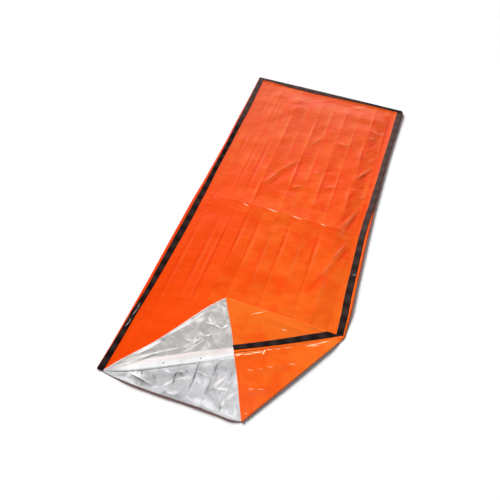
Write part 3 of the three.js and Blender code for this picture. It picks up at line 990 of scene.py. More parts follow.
def tip_roll(radius):
    half_width, height = roll_size(TIP_ROLL, np.minimum(radius / TIP_LENGTH, 1))
    return half_width, height, half_width


def under_roll(radius):
    half_width, height = roll_size(UNDER_ROLL, np.minimum(radius / UNDER_CREASE_LENGTH, 1))
    return half_width, height, radius * UNDER_CREASE - half_width


def turned_height(radius, sideways):
    """Height of the turned-back film: it slopes down to the roll, and settles further back."""
    _, roll_height, centre = top_roll(radius)
    over = np.minimum(sideways, centre)
    out = smoothstep(radius, FOLD_LENGTH, FOLD_LENGTH + TURNED_SHOULDER["start"])
    ends = (FOLD_LENGTH, TOP_CREASE_LENGTH)
    width = np.interp(radius, ends, (TURNED_SHOULDER["near"], TURNED_SHOULDER["far"]))
    rise = out * TURNED_SHOULDER["slope"] * width * smoothstep(centre - over, 0, width)
    settled = smoothstep(centre - over, width, width + TURNED_SETTLE)
    return ridge_height(*fold_plan(radius, over)) + lerp(roll_height + rise, TURNED_STEP, settled)


def flap_height(radius, share):
    _, tip_height, tip_centre = tip_roll(radius)
    low = turned_height(radius, tip_centre)
    return tip_height + lerp(low, turned_height(radius, top_roll(radius)[2]), share)


def flat_section(radius, angle, last_angle, roll, height):
    centre = roll(radius)[2]
    room = np.minimum(1, CREASE_MARGIN * centre / (radius * last_angle))
    sideways = radius * angle * room
    return sideways, height(*fold_plan(radius, sideways)), 0, 1, centre - sideways


def under_lift(radius):
    """How far the bottom panel lifts off the floor at the crease that it is turned back on."""
    settled = smoothstep(radius, UNDER_SETTLE_FROM, UNDER_CREASE_LENGTH)
    return UNDER_LIFT * smoothstep(radius, *UNDER_LIFT_RISE) * (1 - UNDER_SETTLE * settled)


def inside_section(radius, angle, last_angle):
    """Bottom panel: its relief is free only where the top panel is turned back from it."""
    sideways, height, aside, up, room = flat_section(radius, angle, last_angle, under_roll, bottom_height)
    height = height + under_lift(radius) * (1 - smoothstep(room, 0, CURL_REACH))
    half_width, _, centre = top_roll(radius)
    beyond = sideways - centre - half_width
    low = top_height(*fold_plan(radius, centre))
    high = turned_height(radius, centre)
    under = (low - ROLL_CLEARANCE - BOTTOM_HEIGHT) * smoothstep(beyond, *ROLL_UNDER_RISE)
    shoulder = (ROLL_CLEARANCE + SHOULDER_SHARE * (high - low)) * smoothstep(beyond, *SHOULDER_RISE)
    rise = (under + shoulder) * (1 - smoothstep(beyond, *SHOULDER_FALL))
    return sideways, np.maximum(height, BOTTOM_HEIGHT + rise), aside, up, np.minimum(room, beyond)


def seam_place(radius):
    return radius * SEAM_LAID + SEAM_SAG * np.sin(math.pi * np.minimum(radius / FOLD_LENGTH, 1))


def half_turn(share, roll, low, high, side, lean=1):
    """Film turning back on itself: the more it leans, the lower its widest part lies."""
    half_width, _, centre = roll
    turn = math.pi * share
    climb = (1 - math.cos(turn)) / 2
    aside = -(high - low) * lean * climb ** (lean - 1) * math.sin(turn) / 2
    up = side * half_width * math.cos(turn)
    long = np.hypot(aside, up)
    sideways = centre + side * half_width * math.sin(turn)
    return sideways, low + (high - low) * climb**lean, aside / long, up / long, np.zeros_like(long)


def top_turn(radius, share):
    roll = top_roll(radius)
    low = top_height(*fold_plan(radius, roll[2]))
    return half_turn(share, roll, low, turned_height(radius, roll[2]), 1, TOP_ROLL_LEAN)


def turned_section(radius, share):
    start = top_roll(radius)[2]
    end = tip_roll(radius)[2]
    sideways = lerp(start, end, share) + radius * table_column(TURNED_SHIFT, share, 1)
    return sideways, turned_height(radius, sideways), 0, -1, np.minimum(start - sideways, sideways - end)


def tip_turn(radius, share):
    roll = tip_roll(radius)
    return half_turn(share, roll, turned_height(radius, roll[2]), flap_height(radius, 0), -1)


def flap_section(radius, share):
    start = tip_roll(radius)[2]
    end = seam_place(radius) - SEAM_GAP / 2
    sideways = lerp(start, end, share) + FLAP_BOW * radius * np.sin(math.pi * share)
    return sideways, flap_height(radius, share), 0, 1, np.minimum(sideways - start, end - sideways)


def under_turn(radius, share):
    roll = under_roll(radius)
    low = BOTTOM_HEIGHT + under_lift(radius)
    return half_turn(share, roll, low, low + roll[1], 1)


def under_flap_section(radius, share):
    _, roll_height, start = under_roll(radius)
    end = seam_place(radius) + SEAM_GAP / 2
    low = BOTTOM_HEIGHT + under_lift(radius) + roll_height
    height = lerp(low, flap_height(radius, 1), share**FLAP_EASE)
    sideways = lerp(start, end, share)
    return sideways, height, 0, -1, np.minimum(start - sideways, sideways - end)


def shares(steps):
    return [step / steps for step in range(steps + 1)]


def top_stations():
    """Directions on the flat film, each with the layer and the section that it comes to lie in."""
    made = []
    for share in shares(STEPS["top"]):
        angle = MOUTH_CORNER * share
        made.append((angle, "top", lambda r, a=angle: flat_section(r, a, MOUTH_CORNER, top_roll, top_height)))
    for share in shares(STEPS["top_turn"]):
        made.append((TOP_CREASE, "", lambda r, s=share: top_turn(r, s)))
    for share in shares(STEPS["turned"])[1:-1]:
        angle = lerp(TOP_CREASE, TIP_CREASE, share)
        made.append((angle, "turned", lambda r, s=share: turned_section(r, s)))
    for share in shares(STEPS["tip_turn"]):
        made.append((TIP_CREASE, "", lambda r, s=share: tip_turn(r, s)))
    for share in shares(STEPS["flap"])[1:]:
        angle = lerp(TIP_CREASE, SEAM_CUT, share)
        made.append((angle, "flap", lambda r, s=share: flap_section(r, s)))
    return made


def inside_angles():
    """Directions on the bottom panel, closest together where it meets the roll."""
    first, last = ROLL_ANGLES
    before, beside, after = STEPS["inside"]
    return [
        *np.linspace(0, first, before)[:-1],
        *np.linspace(first, last, beside)[:-1],
        *np.linspace(last, LAST_INSIDE_ANGLE, after),
    ]


def bottom_stations():
    made = []
    for angle in inside_angles():
        made.append((angle, "inside", lambda r, a=angle: inside_section(r, a, LAST_INSIDE_ANGLE)))
    for share in shares(STEPS["under_turn"]):
        made.append((UNDER_CREASE, "", lambda r, s=share: under_turn(r, s)))
    for share in shares(STEPS["under_flap"])[1:]:
        angle = lerp(UNDER_CREASE, SEAM_CUT, share)
        made.append((angle, "under_flap", lambda r, s=share: under_flap_section(r, s)))
    return made


# Sheets: each point has its place, the direction that the face looks, the place on the flat film, and its
# tone, which carries painted light and shade

PLACE = slice(0, 3)
FACING = slice(3, 6)
FILM_PLACE = slice(6, 8)
TONE = 8
POINT_VALUES = 9


def packed(across, along, height, aside, forward, up, film_across, film_along, tone):
    values = (across, along, height, aside, forward, up, film_across, film_along, tone)
    return np.stack([np.broadcast_to(value, across.shape).astype(float) for value in values], axis=-1)


def flat_points(columns, rows, layer, height):
    across, along = np.meshgrid(columns, rows)
    x, y = laid_out(across, along)
    return packed(x, y, height(across, along), 0, 0, 1, across, along, film_tone_and_painted_light(layer, x, y))


def fan_points(columns, stations):
    """Points of the folded corner: one row for each direction about the fold point."""
    shares_out = 1 - np.asarray(columns) / BAG_WIDTH
    rows = []
    for angle, layer, section in stations:
        radius = shares_out * edge_radius(angle)
        film_across = BAG_WIDTH - radius * math.cos(angle)
        film_along = FOLD_LENGTH - radius * math.sin(angle)
        if layer == "flap":
            flap_share = (angle - TIP_CREASE) / (SEAM_CUT - TIP_CREASE)
            radius = radius * (1 - FLAP_EDGE_BOW * math.sin(math.pi * flap_share))
        sideways, z, aside, up, room = section(radius)
        x, y = corner_plan(radius, sideways)
        if layer:
            fade = smoothstep(room, 0, RELIEF_FADE)
            if layer == "top":
                fade = fade * relief_share(x, y)
            z = z + fade * layer_relief(layer, x, y)
        # A roll has the tone of a flap
        tone = film_tone_and_painted_light(layer or ("flap" if angle == TIP_CREASE else "under_flap"), x, y)
        turn = sideways / radius
        facing = (aside * np.sin(turn), -aside * np.cos(turn), up)
        rows.append(packed(x, y, z, *facing, film_across, film_along, tone))
    return np.stack(rows)


def grid_faces(index):
    """Two triangles for each cell, so that both faces of the sheet are split the same way."""
    corners = (index[:-1, :-1], index[:-1, 1:], index[1:, 1:], index[1:, :-1])
    a, b, c, d = (corner.ravel() for corner in corners)
    return np.concatenate([np.stack([a, b, c], axis=-1), np.stack([a, c, d], axis=-1)])


def rim_edges(faces, count):
    starts = faces.ravel()
    ends = np.roll(faces, -1, axis=1).ravel()
    lone = ~np.isin(starts * count + ends, ends * count + starts)
    return starts[lone], ends[lone]


def point_attribute(mesh, name, kind, field, values):
    attribute = mesh.attributes.new(name, kind, "POINT")
    attribute.data.foreach_set(field, values.ravel().astype(np.float32))


def sheet_object(name, points, faces, thickness, materials, front_slot, back_slot):
    """Closed thin sheet about the points, with its own material on each face."""
    count = len(points)
    middle = points[:, PLACE] - (BAG_WIDTH / 2, BAG_LENGTH / 2, 0)
    step = points[:, FACING] * thickness / 2
    starts, ends = rim_edges(faces, count)
    rim_front = np.stack([ends, starts, starts + count], axis=-1)
    rim_back = np.stack([ends, starts + count, ends + count], axis=-1)
    corners = np.concatenate([middle + step, middle - step]) * MM
    triangles = np.concatenate([faces, faces[:, ::-1] + count, rim_front, rim_back])
    mesh = bpy.data.meshes.new(name)
    mesh.from_pydata(corners.tolist(), [], triangles.tolist())
    for material in materials:
        mesh.materials.append(material)
    counts = [len(faces), len(faces), 2 * len(starts)]
    slots = np.repeat([front_slot, back_slot, 0], counts)
    mesh.polygons.foreach_set("material_index", slots.astype(np.int32))
    mesh.polygons.foreach_set("use_smooth", np.repeat([True, True, False], counts))
    film_place = np.zeros((2 * count, 3))
    film_place[:, :2] = np.tile(points[:, FILM_PLACE] * MM, (2, 1))
    point_attribute(mesh, "film_place", "FLOAT_VECTOR", "vector", film_place)
    point_attribute(mesh, "film_tone_and_painted_light", "FLOAT", "value", np.tile(points[:, TONE], 2))
    if mesh.validate():
        raise RuntimeError(f"{name} has faulty faces")
    made = bpy.data.objects.new(name, mesh)
    bpy.context.scene.collection.objects.link(made)
    return made


def clustered(low, high, steps, pull):
    """Places from low to high, closer together near both ends."""
    share = np.arange(steps) / steps
    return lerp(low, high, share - pull * np.sin(2 * math.pi * share) / (2 * math.pi))


def panel_columns(steps):
    strips = zip(PLEAT_PLACES[:-1], PLEAT_PLACES[1:])
    parts = [clustered(low, high, steps, COLUMN_PULL) for low, high in strips]
    columns = np.concatenate([*parts, [BAG_WIDTH - FOOT_CORNER_RADIUS, BAG_WIDTH - FOLD_RELIEF, BAG_WIDTH]])
    return np.unique(np.round(columns[(columns <= BAG_WIDTH - FOLD_RELIEF) | (columns == BAG_WIDTH)], 3))


def panel_rows(near_steps, far_steps):
    near = clustered(FOLD_LENGTH, CROSS_FOLD, near_steps, ROW_PULL)
    far = clustered(CROSS_FOLD, BAG_LENGTH, far_steps, ROW_PULL)
    return np.concatenate([near, far, [BAG_LENGTH]])


def panel_sheet(columns, rows, stations, layer, height):
    """Points and faces of a film panel: its flat part and the fan of its folded corner, joined at one row."""
    flat = flat_points(columns, rows, layer, height)
    fan = fan_points(columns[:-1], stations)[1:][::-1]
    flat_index = np.arange(flat.shape[0] * flat.shape[1]).reshape(flat.shape[:2])
    fan_index = flat_index.size + np.arange(fan.shape[0] * fan.shape[1]).reshape(fan.shape[:2])
    fan_index = np.concatenate([fan_index, flat_index[:1, :-1]])
    points = np.concatenate([flat.reshape(-1, POINT_VALUES), fan.reshape(-1, POINT_VALUES)])
    return points, np.concatenate([grid_faces(flat_index), grid_faces(fan_index)])


# Tapes


def tape_on_flat(across, along, film_across, film_along, tone):
    x, y = laid_out(across, along)
    return packed(x, y, top_surface(across, along), 0, 0, 1, film_across, film_along, tone)


def side_tape_points(table, rows, columns, sign):
    along, share = np.meshgrid(rows, columns, indexing="ij")
    gap = table_column(table, along, 1) + share * table_column(table, along, 2)
    across = gap if sign < 0 else BAG_WIDTH - gap
    tone = table_column(LEFT_TAPE_SHEEN if sign < 0 else RIGHT_TAPE_SHEEN, along, 1)
    return tape_on_flat(across, along, share * table_column(table, along, 2), along, tone)


def right_tape_gaps(along, steps):
    """Distances of the right tape's points from the edge of the film."""
    return table_column(RIGHT_TAPE, along, 1) + table_column(RIGHT_TAPE, along, 2) * steps


def creased_tape_points(steps):
    """The right tape where it passes with the film through the folds, next to the fold point."""
    gaps = right_tape_gaps(FOLD_LENGTH, steps)
    rows = []
    for angle, _, section in top_stations()[1 : -STEPS["flap"]]:
        radius = gaps / math.cos(angle)
        sideways, z, aside, up, _ = section(radius)
        x, y = corner_plan(radius, sideways)
        turn = sideways / radius
        along = FOLD_LENGTH - gaps * math.tan(angle)
        tone = table_column(RIGHT_TAPE_SHEEN, along, 1)
        facing = (aside * np.sin(turn), -aside * np.cos(turn), up)
        rows.append(packed(x, y, z, *facing, gaps, along, tone))
    return np.stack(rows)


def flap_tape_points(steps):
    """The right tape on the flap, from the fold to the mouth."""
    first = right_tape_gaps(FOLD_LENGTH, steps) * math.tan(TIP_CREASE)
    rows = []
    for share in shares(STEPS["flap_tape"])[1:]:
        down = lerp(first, FOLD_LENGTH - TAPE_END, share)
        along = FOLD_LENGTH - down
        gaps = right_tape_gaps(along, steps)
        flap_share = (np.arctan2(down, gaps) - TIP_CREASE) / (SEAM_CUT - TIP_CREASE)
        radius = np.hypot(gaps, down)
        sideways, z, _, _, room = flap_section(radius, flap_share)
        x, y = corner_plan(radius, sideways)
        z = z + smoothstep(room, 0, RELIEF_FADE) * layer_relief("flap", x, y)
        rows.append(packed(x, y, z, 0, 0, 1, gaps, along, table_column(RIGHT_TAPE_SHEEN, along, 1)))
    return np.stack(rows)


def left_tape_points(steps):
    rows = np.linspace(TAPE_END, BAG_LENGTH, STEPS["left_tape"])
    return side_tape_points(LEFT_TAPE, rows, steps, -1)


def right_tape_points(steps):
    """The right tape, from the foot tape to the fold and on across the flap to the mouth."""
    start = BAG_LENGTH - table_column(FOOT_TAPE, BAG_WIDTH, 1) - TAPE_CLEARANCE
    rows = np.linspace(start, FOLD_LENGTH, STEPS["right_tape"])
    flat = side_tape_points(RIGHT_TAPE, rows, steps, 1)
    return np.concatenate([flat, creased_tape_points(steps), flap_tape_points(steps)])


def foot_tape_points(steps):
    """The foot tape, from the left tape to the right edge."""
    straight_steps, corner_steps = STEPS["foot_tape"]
    start = table_column(LEFT_TAPE, BAG_LENGTH, 2) + TAPE_CLEARANCE
    straight = np.linspace(start, BAG_WIDTH - FOOT_CORNER_RADIUS, straight_steps)
    corner = np.linspace(BAG_WIDTH - FOOT_CORNER_RADIUS, BAG_WIDTH, corner_steps)
    across, share = np.meshgrid(np.concatenate([straight, corner[1:]]), steps[::-1])
    aside = table_column(FOOT_TAPE, across, 1) * share
    return tape_on_flat(across, BAG_LENGTH - aside, aside, across, table_column(FOOT_TAPE_SHEEN, across, 1))


def lifted(points, lift):
    points[..., PLACE] += points[..., FACING] * lift
    return points


def tape_sheet(points):
    index = np.arange(points.shape[0] * points.shape[1]).reshape(points.shape[:2])
    return points.reshape(-1, POINT_VALUES), grid_faces(index)


# Materials


def linear(hex_colour):
    """Linear RGB of an sRGB hex colour."""
    channels = [int(hex_colour[place : place + 2], 16) / 255 for place in (1, 3, 5)]
    return tuple(c / 12.92 if c <= 0.04045 else ((c + 0.055) / 1.055) ** 2.4 for c in channels)


def add_node(tree, kind, inputs=None, **settings):
    """Adds a node, sets its options, and sets its inputs or links them to a socket or a node."""
    made = tree.nodes.new("ShaderNode" + kind)
    for option, value in settings.items():
        setattr(made, option, value)
    for socket, value in (inputs or {}).items():
        source = value.outputs[0] if isinstance(value, bpy.types.Node) else value
        if isinstance(source, bpy.types.NodeSocket):
            tree.links.new(source, made.inputs[socket])
        else:
            made.inputs[socket].default_value = source
    return made


def new_material(name):
    material = bpy.data.materials.new(name)
    material.use_nodes = True
    tree = material.node_tree
    tree.nodes.clear()
    return material, tree


def per(size_mm):
    """Texture scale that gives features of this size."""
    return 1 / (size_mm * MM)


def finish_material(tree, shader):
    add_node(tree, "OutputMaterial", {"Surface": shader})


def upright(rows):
    """Marks that run straight along the bag."""
    width = PLEAT_LINE_HALF_WIDTH
    return [(across, start, across, end, width, strength) for across, start, end, strength in rows]


def spans(value, numbers):
    """Inputs that turn a value from one range into another."""
    return dict(zip(("Value", "From Min", "From Max", "To Min", "To Max"), (value, *numbers)))


def marks(tree, rows, scale, total=0.0, clamp=False):
    """Straight marks where the film lies, each strongest in its middle and fading to its sides and ends."""
    place = add_node(tree, "TexCoord").outputs["Object"]
    for from_across, from_along, to_across, to_along, half_width, strength in rows:
        run = Vector((to_across - from_across, to_along - from_along))
        middle = ((from_across + to_across - BAG_WIDTH) / 2, (from_along + to_along - BAG_LENGTH) / 2, 0)
        spot = {
            "Vector": place,
            "Location": Vector(middle) * MM,
            "Rotation": (0, 0, math.atan2(run.y, run.x)),
            "Scale": (run.length / 2 * MM, half_width * MM, 1),
        }
        local = add_node(tree, "Mapping", spot, vector_type="TEXTURE")
        shape = add_node(tree, "TexGradient", {"Vector": local}, gradient_type="SPHERICAL").outputs["Fac"]
        total = add_node(tree, "Math", {0: shape, 1: strength * scale, 2: total}, operation="MULTIPLY_ADD")
    total.use_clamp = clamp
    return total


def painted(tree, base, coats):
    """Colour with coats laid over it in order, each as strong as its share."""
    shade = (*base, 1)
    for share, colour in coats:
        shade = add_node(tree, "Mix", {0: share, 6: shade, 7: (*colour, 1)}, data_type="RGBA").outputs[2]
    return shade


def film_colour(tree, place, raised, sunken, colours):
    """Orange, drawn darker towards the foot as painted shade, deeper or paler with the tone of the film, with
    painted shade along folds and creases, painted sheen beside them and painted glints.
    """
    tone = add_node(tree, "Attribute", attribute_name="film_tone_and_painted_light").outputs["Fac"]
    # Deeper where the tone is below 0, with painted shade, and paler where it is above, with painted light
    deep = add_node(tree, "Math", {0: tone, 1: -1.0}, operation="MULTIPLY", use_clamp=True)
    pale = add_node(tree, "Math", {0: tone, 1: 1.0}, operation="MULTIPLY", use_clamp=True)
    # Painted shade towards the foot at the left
    reach = add_node(tree, "VectorMath", {0: place, 1: FAR_SHADE_DIRECTION}, operation="DOT_PRODUCT")
    far = add_node(tree, "MapRange", spans(reach.outputs["Value"], FAR_SHADE_RANGE))
    # Painted highlight along the raised creases, painted shade along the sunken ones
    ridges = add_node(tree, "Math", {0: raised, 1: RAISED_HIGHLIGHT}, operation="MULTIPLY")
    trough_shade = add_node(tree, "Math", {0: sunken, 1: SUNKEN_SHADE}, operation="MULTIPLY")
    coats = (
        (far, colours.film_far_shade),
        (deep, colours.film_deep_and_shade),
        (pale, colours.film_pale_and_lit),
        # Painted sheen beside the packing folds and painted shade in them
        (marks(tree, upright(PLEAT_SHEEN), 1, ridges, clamp=True), colours.film_sheen),
        (marks(tree, upright(PLEAT_SHADE), 1, trough_shade, clamp=True), colours.film_fold_shade),
        # Painted highlights: glints on the hardest creases
        (marks(tree, FILM_GLINTS, 1, clamp=True), colours.film_glint),
    )
    return painted(tree, colours.film, coats)


def film_normal(tree, crinkle, raised, sunken):
    """Bump of the crinkled film with its fine creases."""
    creases = add_node(tree, "Math", {0: sunken, 1: -SUNKEN_BUMP, 2: raised}, operation="MULTIPLY_ADD")
    crinkled = add_node(tree, "Math", {0: creases, 1: CREASE_BUMP, 2: crinkle}, operation="MULTIPLY_ADD")
    height = add_node(tree, "Math", {0: crinkled, 1: MM}, operation="MULTIPLY")
    return add_node(tree, "Bump", {"Height": height, "Strength": 1.0, "Distance": 1.0})


def orange_film_material(colours):
    """Blown polyethylene film, pigmented orange."""
    # To the eye: smooth and glossy, finely crinkled, with painted glints on its hardest creases and painted
    # light and shade over its folds
    material, tree = new_material("blown_polyethylene_film_orange")
    place = add_node(tree, "Attribute", attribute_name="film_place").outputs["Vector"]
    raised = marks(tree, [row for row in FILM_CREASES if row[-1] > 0], 1)
    sunken = marks(tree, [row for row in FILM_CREASES if row[-1] < 0], -1)
    stretched = add_node(tree, "VectorMath", {0: place, 1: CRINKLE_STRETCH}, operation="MULTIPLY")
    crinkles = {"Vector": stretched, "Scale": per(CRINKLE_SIZE), "Detail": 2.0}
    crinkle = add_node(tree, "TexNoise", crinkles).outputs["Fac"]
    shader = add_node(
        tree,
        "BsdfPrincipled",
        {
            "Base Color": film_colour(tree, place, raised, sunken, colours),
            "Roughness": add_node(tree, "MapRange", spans(crinkle, FILM_ROUGHNESS)),
            "IOR": 1.51,
            "Normal": film_normal(tree, crinkle, raised, sunken),
        },
    )
    finish_material(tree, shader)
    return material


def facets(tree, place, uneven, crushed, normal, size, tilt):
    """Normal tilted a little by flat facets of uneven shape, as in crushed foil."""
    shifted = add_node(tree, "VectorMath", {0: uneven, 1: FACET_WARP, 2: place}, operation="MULTIPLY_ADD")
    cells = add_node(tree, "TexVoronoi", {"Vector": shifted, "Scale": per(size)}).outputs["Color"]
    centred = add_node(tree, "VectorMath", {0: cells, 1: FACET_CENTRE}, operation="SUBTRACT")
    lean = add_node(tree, "VectorMath", {0: centred, "Scale": crushed}, operation="SCALE")
    tilted = add_node(
        tree, "VectorMath", {0: lean, 1: (tilt, tilt, 0), 2: normal}, operation="MULTIPLY_ADD"
    )
    return add_node(tree, "VectorMath", {0: tilted}, operation="NORMALIZE")


def silver_film_material(colours):
    """Polyethylene film with a skin of aluminium laid on as vapour."""
    # To the eye: satin bright, uneven and creased, with painted highlights, reflections and shade over its
    # creases
    material, tree = new_material("aluminised_polyethylene_film")
    place = add_node(tree, "Attribute", attribute_name="film_place").outputs["Vector"]
    uneven = add_node(tree, "TexNoise", {"Vector": place, "Scale": per(SILVER_UNEVEN_SIZE), "Detail": 2.0})
    haze = add_node(tree, "TexNoise", {"Vector": place, "Scale": per(SILVER_HAZE_SIZE), "Detail": 3.0})
    glint = marks(tree, SILVER_GLINTS, 1, clamp=True)
    sheen = marks(tree, SILVER_SHEEN, 1, clamp=True)
    coats = (
        (add_node(tree, "Attribute", attribute_name="film_tone_and_painted_light").outputs["Fac"], colours.silver_turned),
        (sheen, colours.silver_sheen),
        (glint, colours.silver_glint),
        # Painted shade in the folds and along the lip
        (marks(tree, SILVER_SHADE, 1, clamp=True), colours.silver_fold_shade),
    )
    # Painted highlights and reflections also make the film less metallic and less crushed
    painted_highlight = add_node(tree, "Math", {0: glint, 1: sheen}, operation="MAXIMUM")
    crushed = add_node(tree, "MapRange", spans(painted_highlight, SILVER_CRUSHED))
    heights = {0: uneven.outputs["Fac"], 1: SILVER_UNEVEN_RISE * MM, 2: marks(tree, SILVER_CREASES, MM)}
    height = add_node(tree, "Math", heights, operation="MULTIPLY_ADD")
    normal = add_node(tree, "Bump", {"Height": height, "Strength": 1.0, "Distance": 1.0})
    for size, tilt in FACETS:
        normal = facets(tree, place, uneven.outputs["Color"], crushed, normal, size, tilt)
    shader = add_node(
        tree,
        "BsdfPrincipled",
        {
            "Base Color": painted(tree, colours.silver, coats),
            "Metallic": add_node(tree, "MapRange", spans(painted_highlight, SILVER_METAL)),
            "Roughness": add_node(tree, "MapRange", spans(haze.outputs["Fac"], SILVER_ROUGHNESS)),
            "Normal": normal,
        },
    )
    finish_material(tree, shader)
    return material


def tape_material(colours):
    """Woven polyester tape, black."""
    # To the eye: matt ribbed cloth with a faint sheen, a little uneven along its length, and drawn paler as
    # painted sheen
    material, tree = new_material("woven_polyester_tape_black")
    place = add_node(tree, "Attribute", attribute_name="film_place").outputs["Vector"]
    band_scale = 2 * math.pi * per(TAPE_BAND_PITCH) / WAVE_FACTOR
    waves = {"Vector": place, "Scale": band_scale, "Distortion": 1.5, "Detail": 1.0}
    bands = add_node(tree, "TexWave", waves, bands_direction="Y").outputs["Fac"]
    patches = add_node(tree, "TexNoise", {"Vector": place, "Scale": per(TAPE_PATCH_SIZE), "Detail": 3.0})
    fade = add_node(tree, "Attribute", attribute_name="film_tone_and_painted_light").outputs["Fac"]
    weave = add_node(tree, "Math", {0: bands, 1: patches.outputs["Fac"]}, operation="MULTIPLY")
    # Paler bands of the weave, with painted sheen along the tape
    weave_and_sheen = add_node(tree, "Math", {0: weave, 1: TAPE_BAND_FADE, 2: fade}, operation="MULTIPLY_ADD")
    coats = (
        (weave_and_sheen, colours.tape_sheen),
        (marks(tree, TAPE_SCUFFS, 1, clamp=True), colours.tape_worn),
    )
    bump = add_node(tree, "Bump", {"Height": bands, "Strength": 0.8, "Distance": TAPE_BAND_RISE * MM})
    shader = add_node(
        tree,
        "BsdfPrincipled",
        {
            "Base Color": painted(tree, colours.tape, coats),
            "Roughness": 0.6,
            "IOR": 1.5,
            "Specular IOR Level": 0.1,
            "Normal": bump,
        },
    )
    finish_material(tree, shader)
    return material


def floor_material(colours):
    """Matt white painted board."""
    # To the eye: even, with the faintest unevenness of the paint
    material, tree = new_material("matt_white_painted_board")
    place = add_node(tree, "NewGeometry").outputs["Position"]
    paint = add_node(tree, "TexNoise", {"Vector": place, "Scale": per(FLOOR_PATCH_SIZE), "Detail": 2.0})
    shade = painted(tree, colours.floor, ((paint.outputs["Fac"], colours.floor_uneven),))
    finish_material(tree, add_node(tree, "BsdfPrincipled", {"Base Color": shade, "Roughness": 0.9}))
    return material


# Add-on


class BagSizes(bpy.types.PropertyGroup):
    """Sizes of the bag's pieces."""

    film_thickness: bpy.props.FloatProperty(
        name="Film thickness",
        description="Thickness drawn for the film",
        default=0.4 * MM,
        min=0.05 * MM,
        max=1 * MM,
        unit="LENGTH",
        precision=5,
    )
    tape_thickness: bpy.props.FloatProperty(
        name="Tape thickness",
        description="Thickness drawn for the tape",
        default=0.3 * MM,
        min=0.1 * MM,
        max=1 * MM,
        unit="LENGTH",
        precision=5,
    )


def colour_property(name, description, hex_colour):
    return bpy.props.FloatVectorProperty(
        name=name, description=description, default=linear(hex_colour), min=0, max=1, size=3, subtype="COLOR"
    )


class BagColours(bpy.types.PropertyGroup):
    """Colours of the bag and its stage."""

    film: colour_property("Film", "Outer face of the film", "#F04E0C")
    # Painted shade: film drawn darker towards the foot
    film_far_shade: colour_property("Film, foot", "Outer face of the film towards the foot", "#E4500E")
    # Deep film, and painted shade
    film_deep_and_shade: colour_property("Film, deep", "Film where its colour is deepest", "#EE4204")
    # Pale film, and painted light on the folded corner and elsewhere
    film_pale_and_lit: colour_property("Film, pale", "Film of the folded corner", "#F66F20")
    # Painted sheen beside the packing folds and along raised creases
    film_sheen: colour_property("Film, raised", "Film beside the packing folds", "#F57247")
    # Painted shade along the packing folds and sunken creases
    film_fold_shade: colour_property("Film, pressed", "Film along the packing folds", "#E63E05")
    # Painted glints where the film was creased hard
    film_glint: colour_property("Film, creased", "Film whitened by hard creasing", "#FFECC0")
    silver: colour_property("Silver", "Metallised inner face of the film", "#EDEDF0")
    silver_turned: colour_property("Silver, turned back", "Inner face of the turned-back film", "#E7E3DF")
    # Painted reflection along the crease
    silver_sheen: colour_property("Silver, cloudy", "Inner face along the crease", "#FFF5F2")
    # Painted highlights and reflections on the silver face
    silver_glint: colour_property("Silver, creased", "Inner face whitened by creasing", "#FFFFFF")
    # Painted shade in the folds of the silver face
    silver_fold_shade: colour_property("Silver, pressed", "Inner face in its folds", "#77777B")
    tape: colour_property("Tape", "Tape along the seams", "#0A0807")
    # Painted sheen on the tape
    tape_sheen: colour_property("Tape, pale", "Tape where it has faded", "#55423F")
    tape_worn: colour_property("Tape, scuffed", "Threads of the tape that were scuffed", "#C4BBB4")
    floor: colour_property("Floor", "Board under the bag", "#FBFBFB")
    floor_uneven: colour_property("Floor, uneven", "Board where its paint is thinner", "#F7F7F7")


class StageSettings(bpy.types.PropertyGroup):
    """Camera and lights."""

    camera_place: bpy.props.FloatVectorProperty(
        name="Camera", description="Where the camera stands", default=(0.3196, -1.4818, 1.8684), unit="LENGTH"
    )
    camera_aim: bpy.props.FloatVectorProperty(
        name="Aim",
        description="Point of the floor in the middle of the view",
        default=(-0.0718, -0.2457, 0),
        unit="LENGTH",
    )
    camera_roll: bpy.props.FloatProperty(
        name="Roll",
        description="Turn of the camera about its line of sight",
        default=math.radians(2.364),
        unit="ROTATION",
    )
    lens: bpy.props.FloatProperty(
        name="Lens", description="Focal length on a sensor 36 mm wide", default=34.99, unit="CAMERA"
    )
    key_power: bpy.props.FloatProperty(
        name="Key light", description="Strength of the light from behind on the left", default=5.8
    )
    fill_power: bpy.props.FloatProperty(
        name="Fill light", description="Power of the panel on the right of the mouth", default=5, unit="POWER"
    )
    top_power: bpy.props.FloatProperty(
        name="Softbox", description="Power of the softbox above the mouth", default=3, unit="POWER"
    )
    walls: bpy.props.FloatProperty(name="Walls", description="Brightness of the studio's walls", default=1.5)
    ceiling: bpy.props.FloatProperty(name="Ceiling", description="Brightness of the ceiling", default=0.1)


def dress(piece, node):
    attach(piece, "root")
    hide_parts(node)


class BAG_OT_panels(bpy.types.Operator):
    """Build the two film panels, orange outside and silver inside"""

    bl_idname = "sleeping_bag.panels"
    bl_label = "Film Panels"

    def execute(self, context):
        sizes = context.scene.bag_sizes
        colours = context.scene.bag_colours
        films = (orange_film_material(colours), silver_film_material(colours))
        thickness = sizes.film_thickness / MM
        columns = panel_columns(STEPS["columns"])
        rows = panel_rows(*STEPS["top_rows"])
        points, faces = panel_sheet(columns, rows, top_stations(), "top", top_surface)
        top = sheet_object("film_top", points, faces, thickness, films, 0, 1)
        rows = panel_rows(*STEPS["bottom_rows"])
        points, faces = panel_sheet(columns, rows, bottom_stations(), "inside", bottom_height)
        bottom = sheet_object("film_bottom", points, faces, thickness, films, 1, 0)
        dress(top, "top_panel")
        dress(bottom, "bottom_panel")
        return {"FINISHED"}


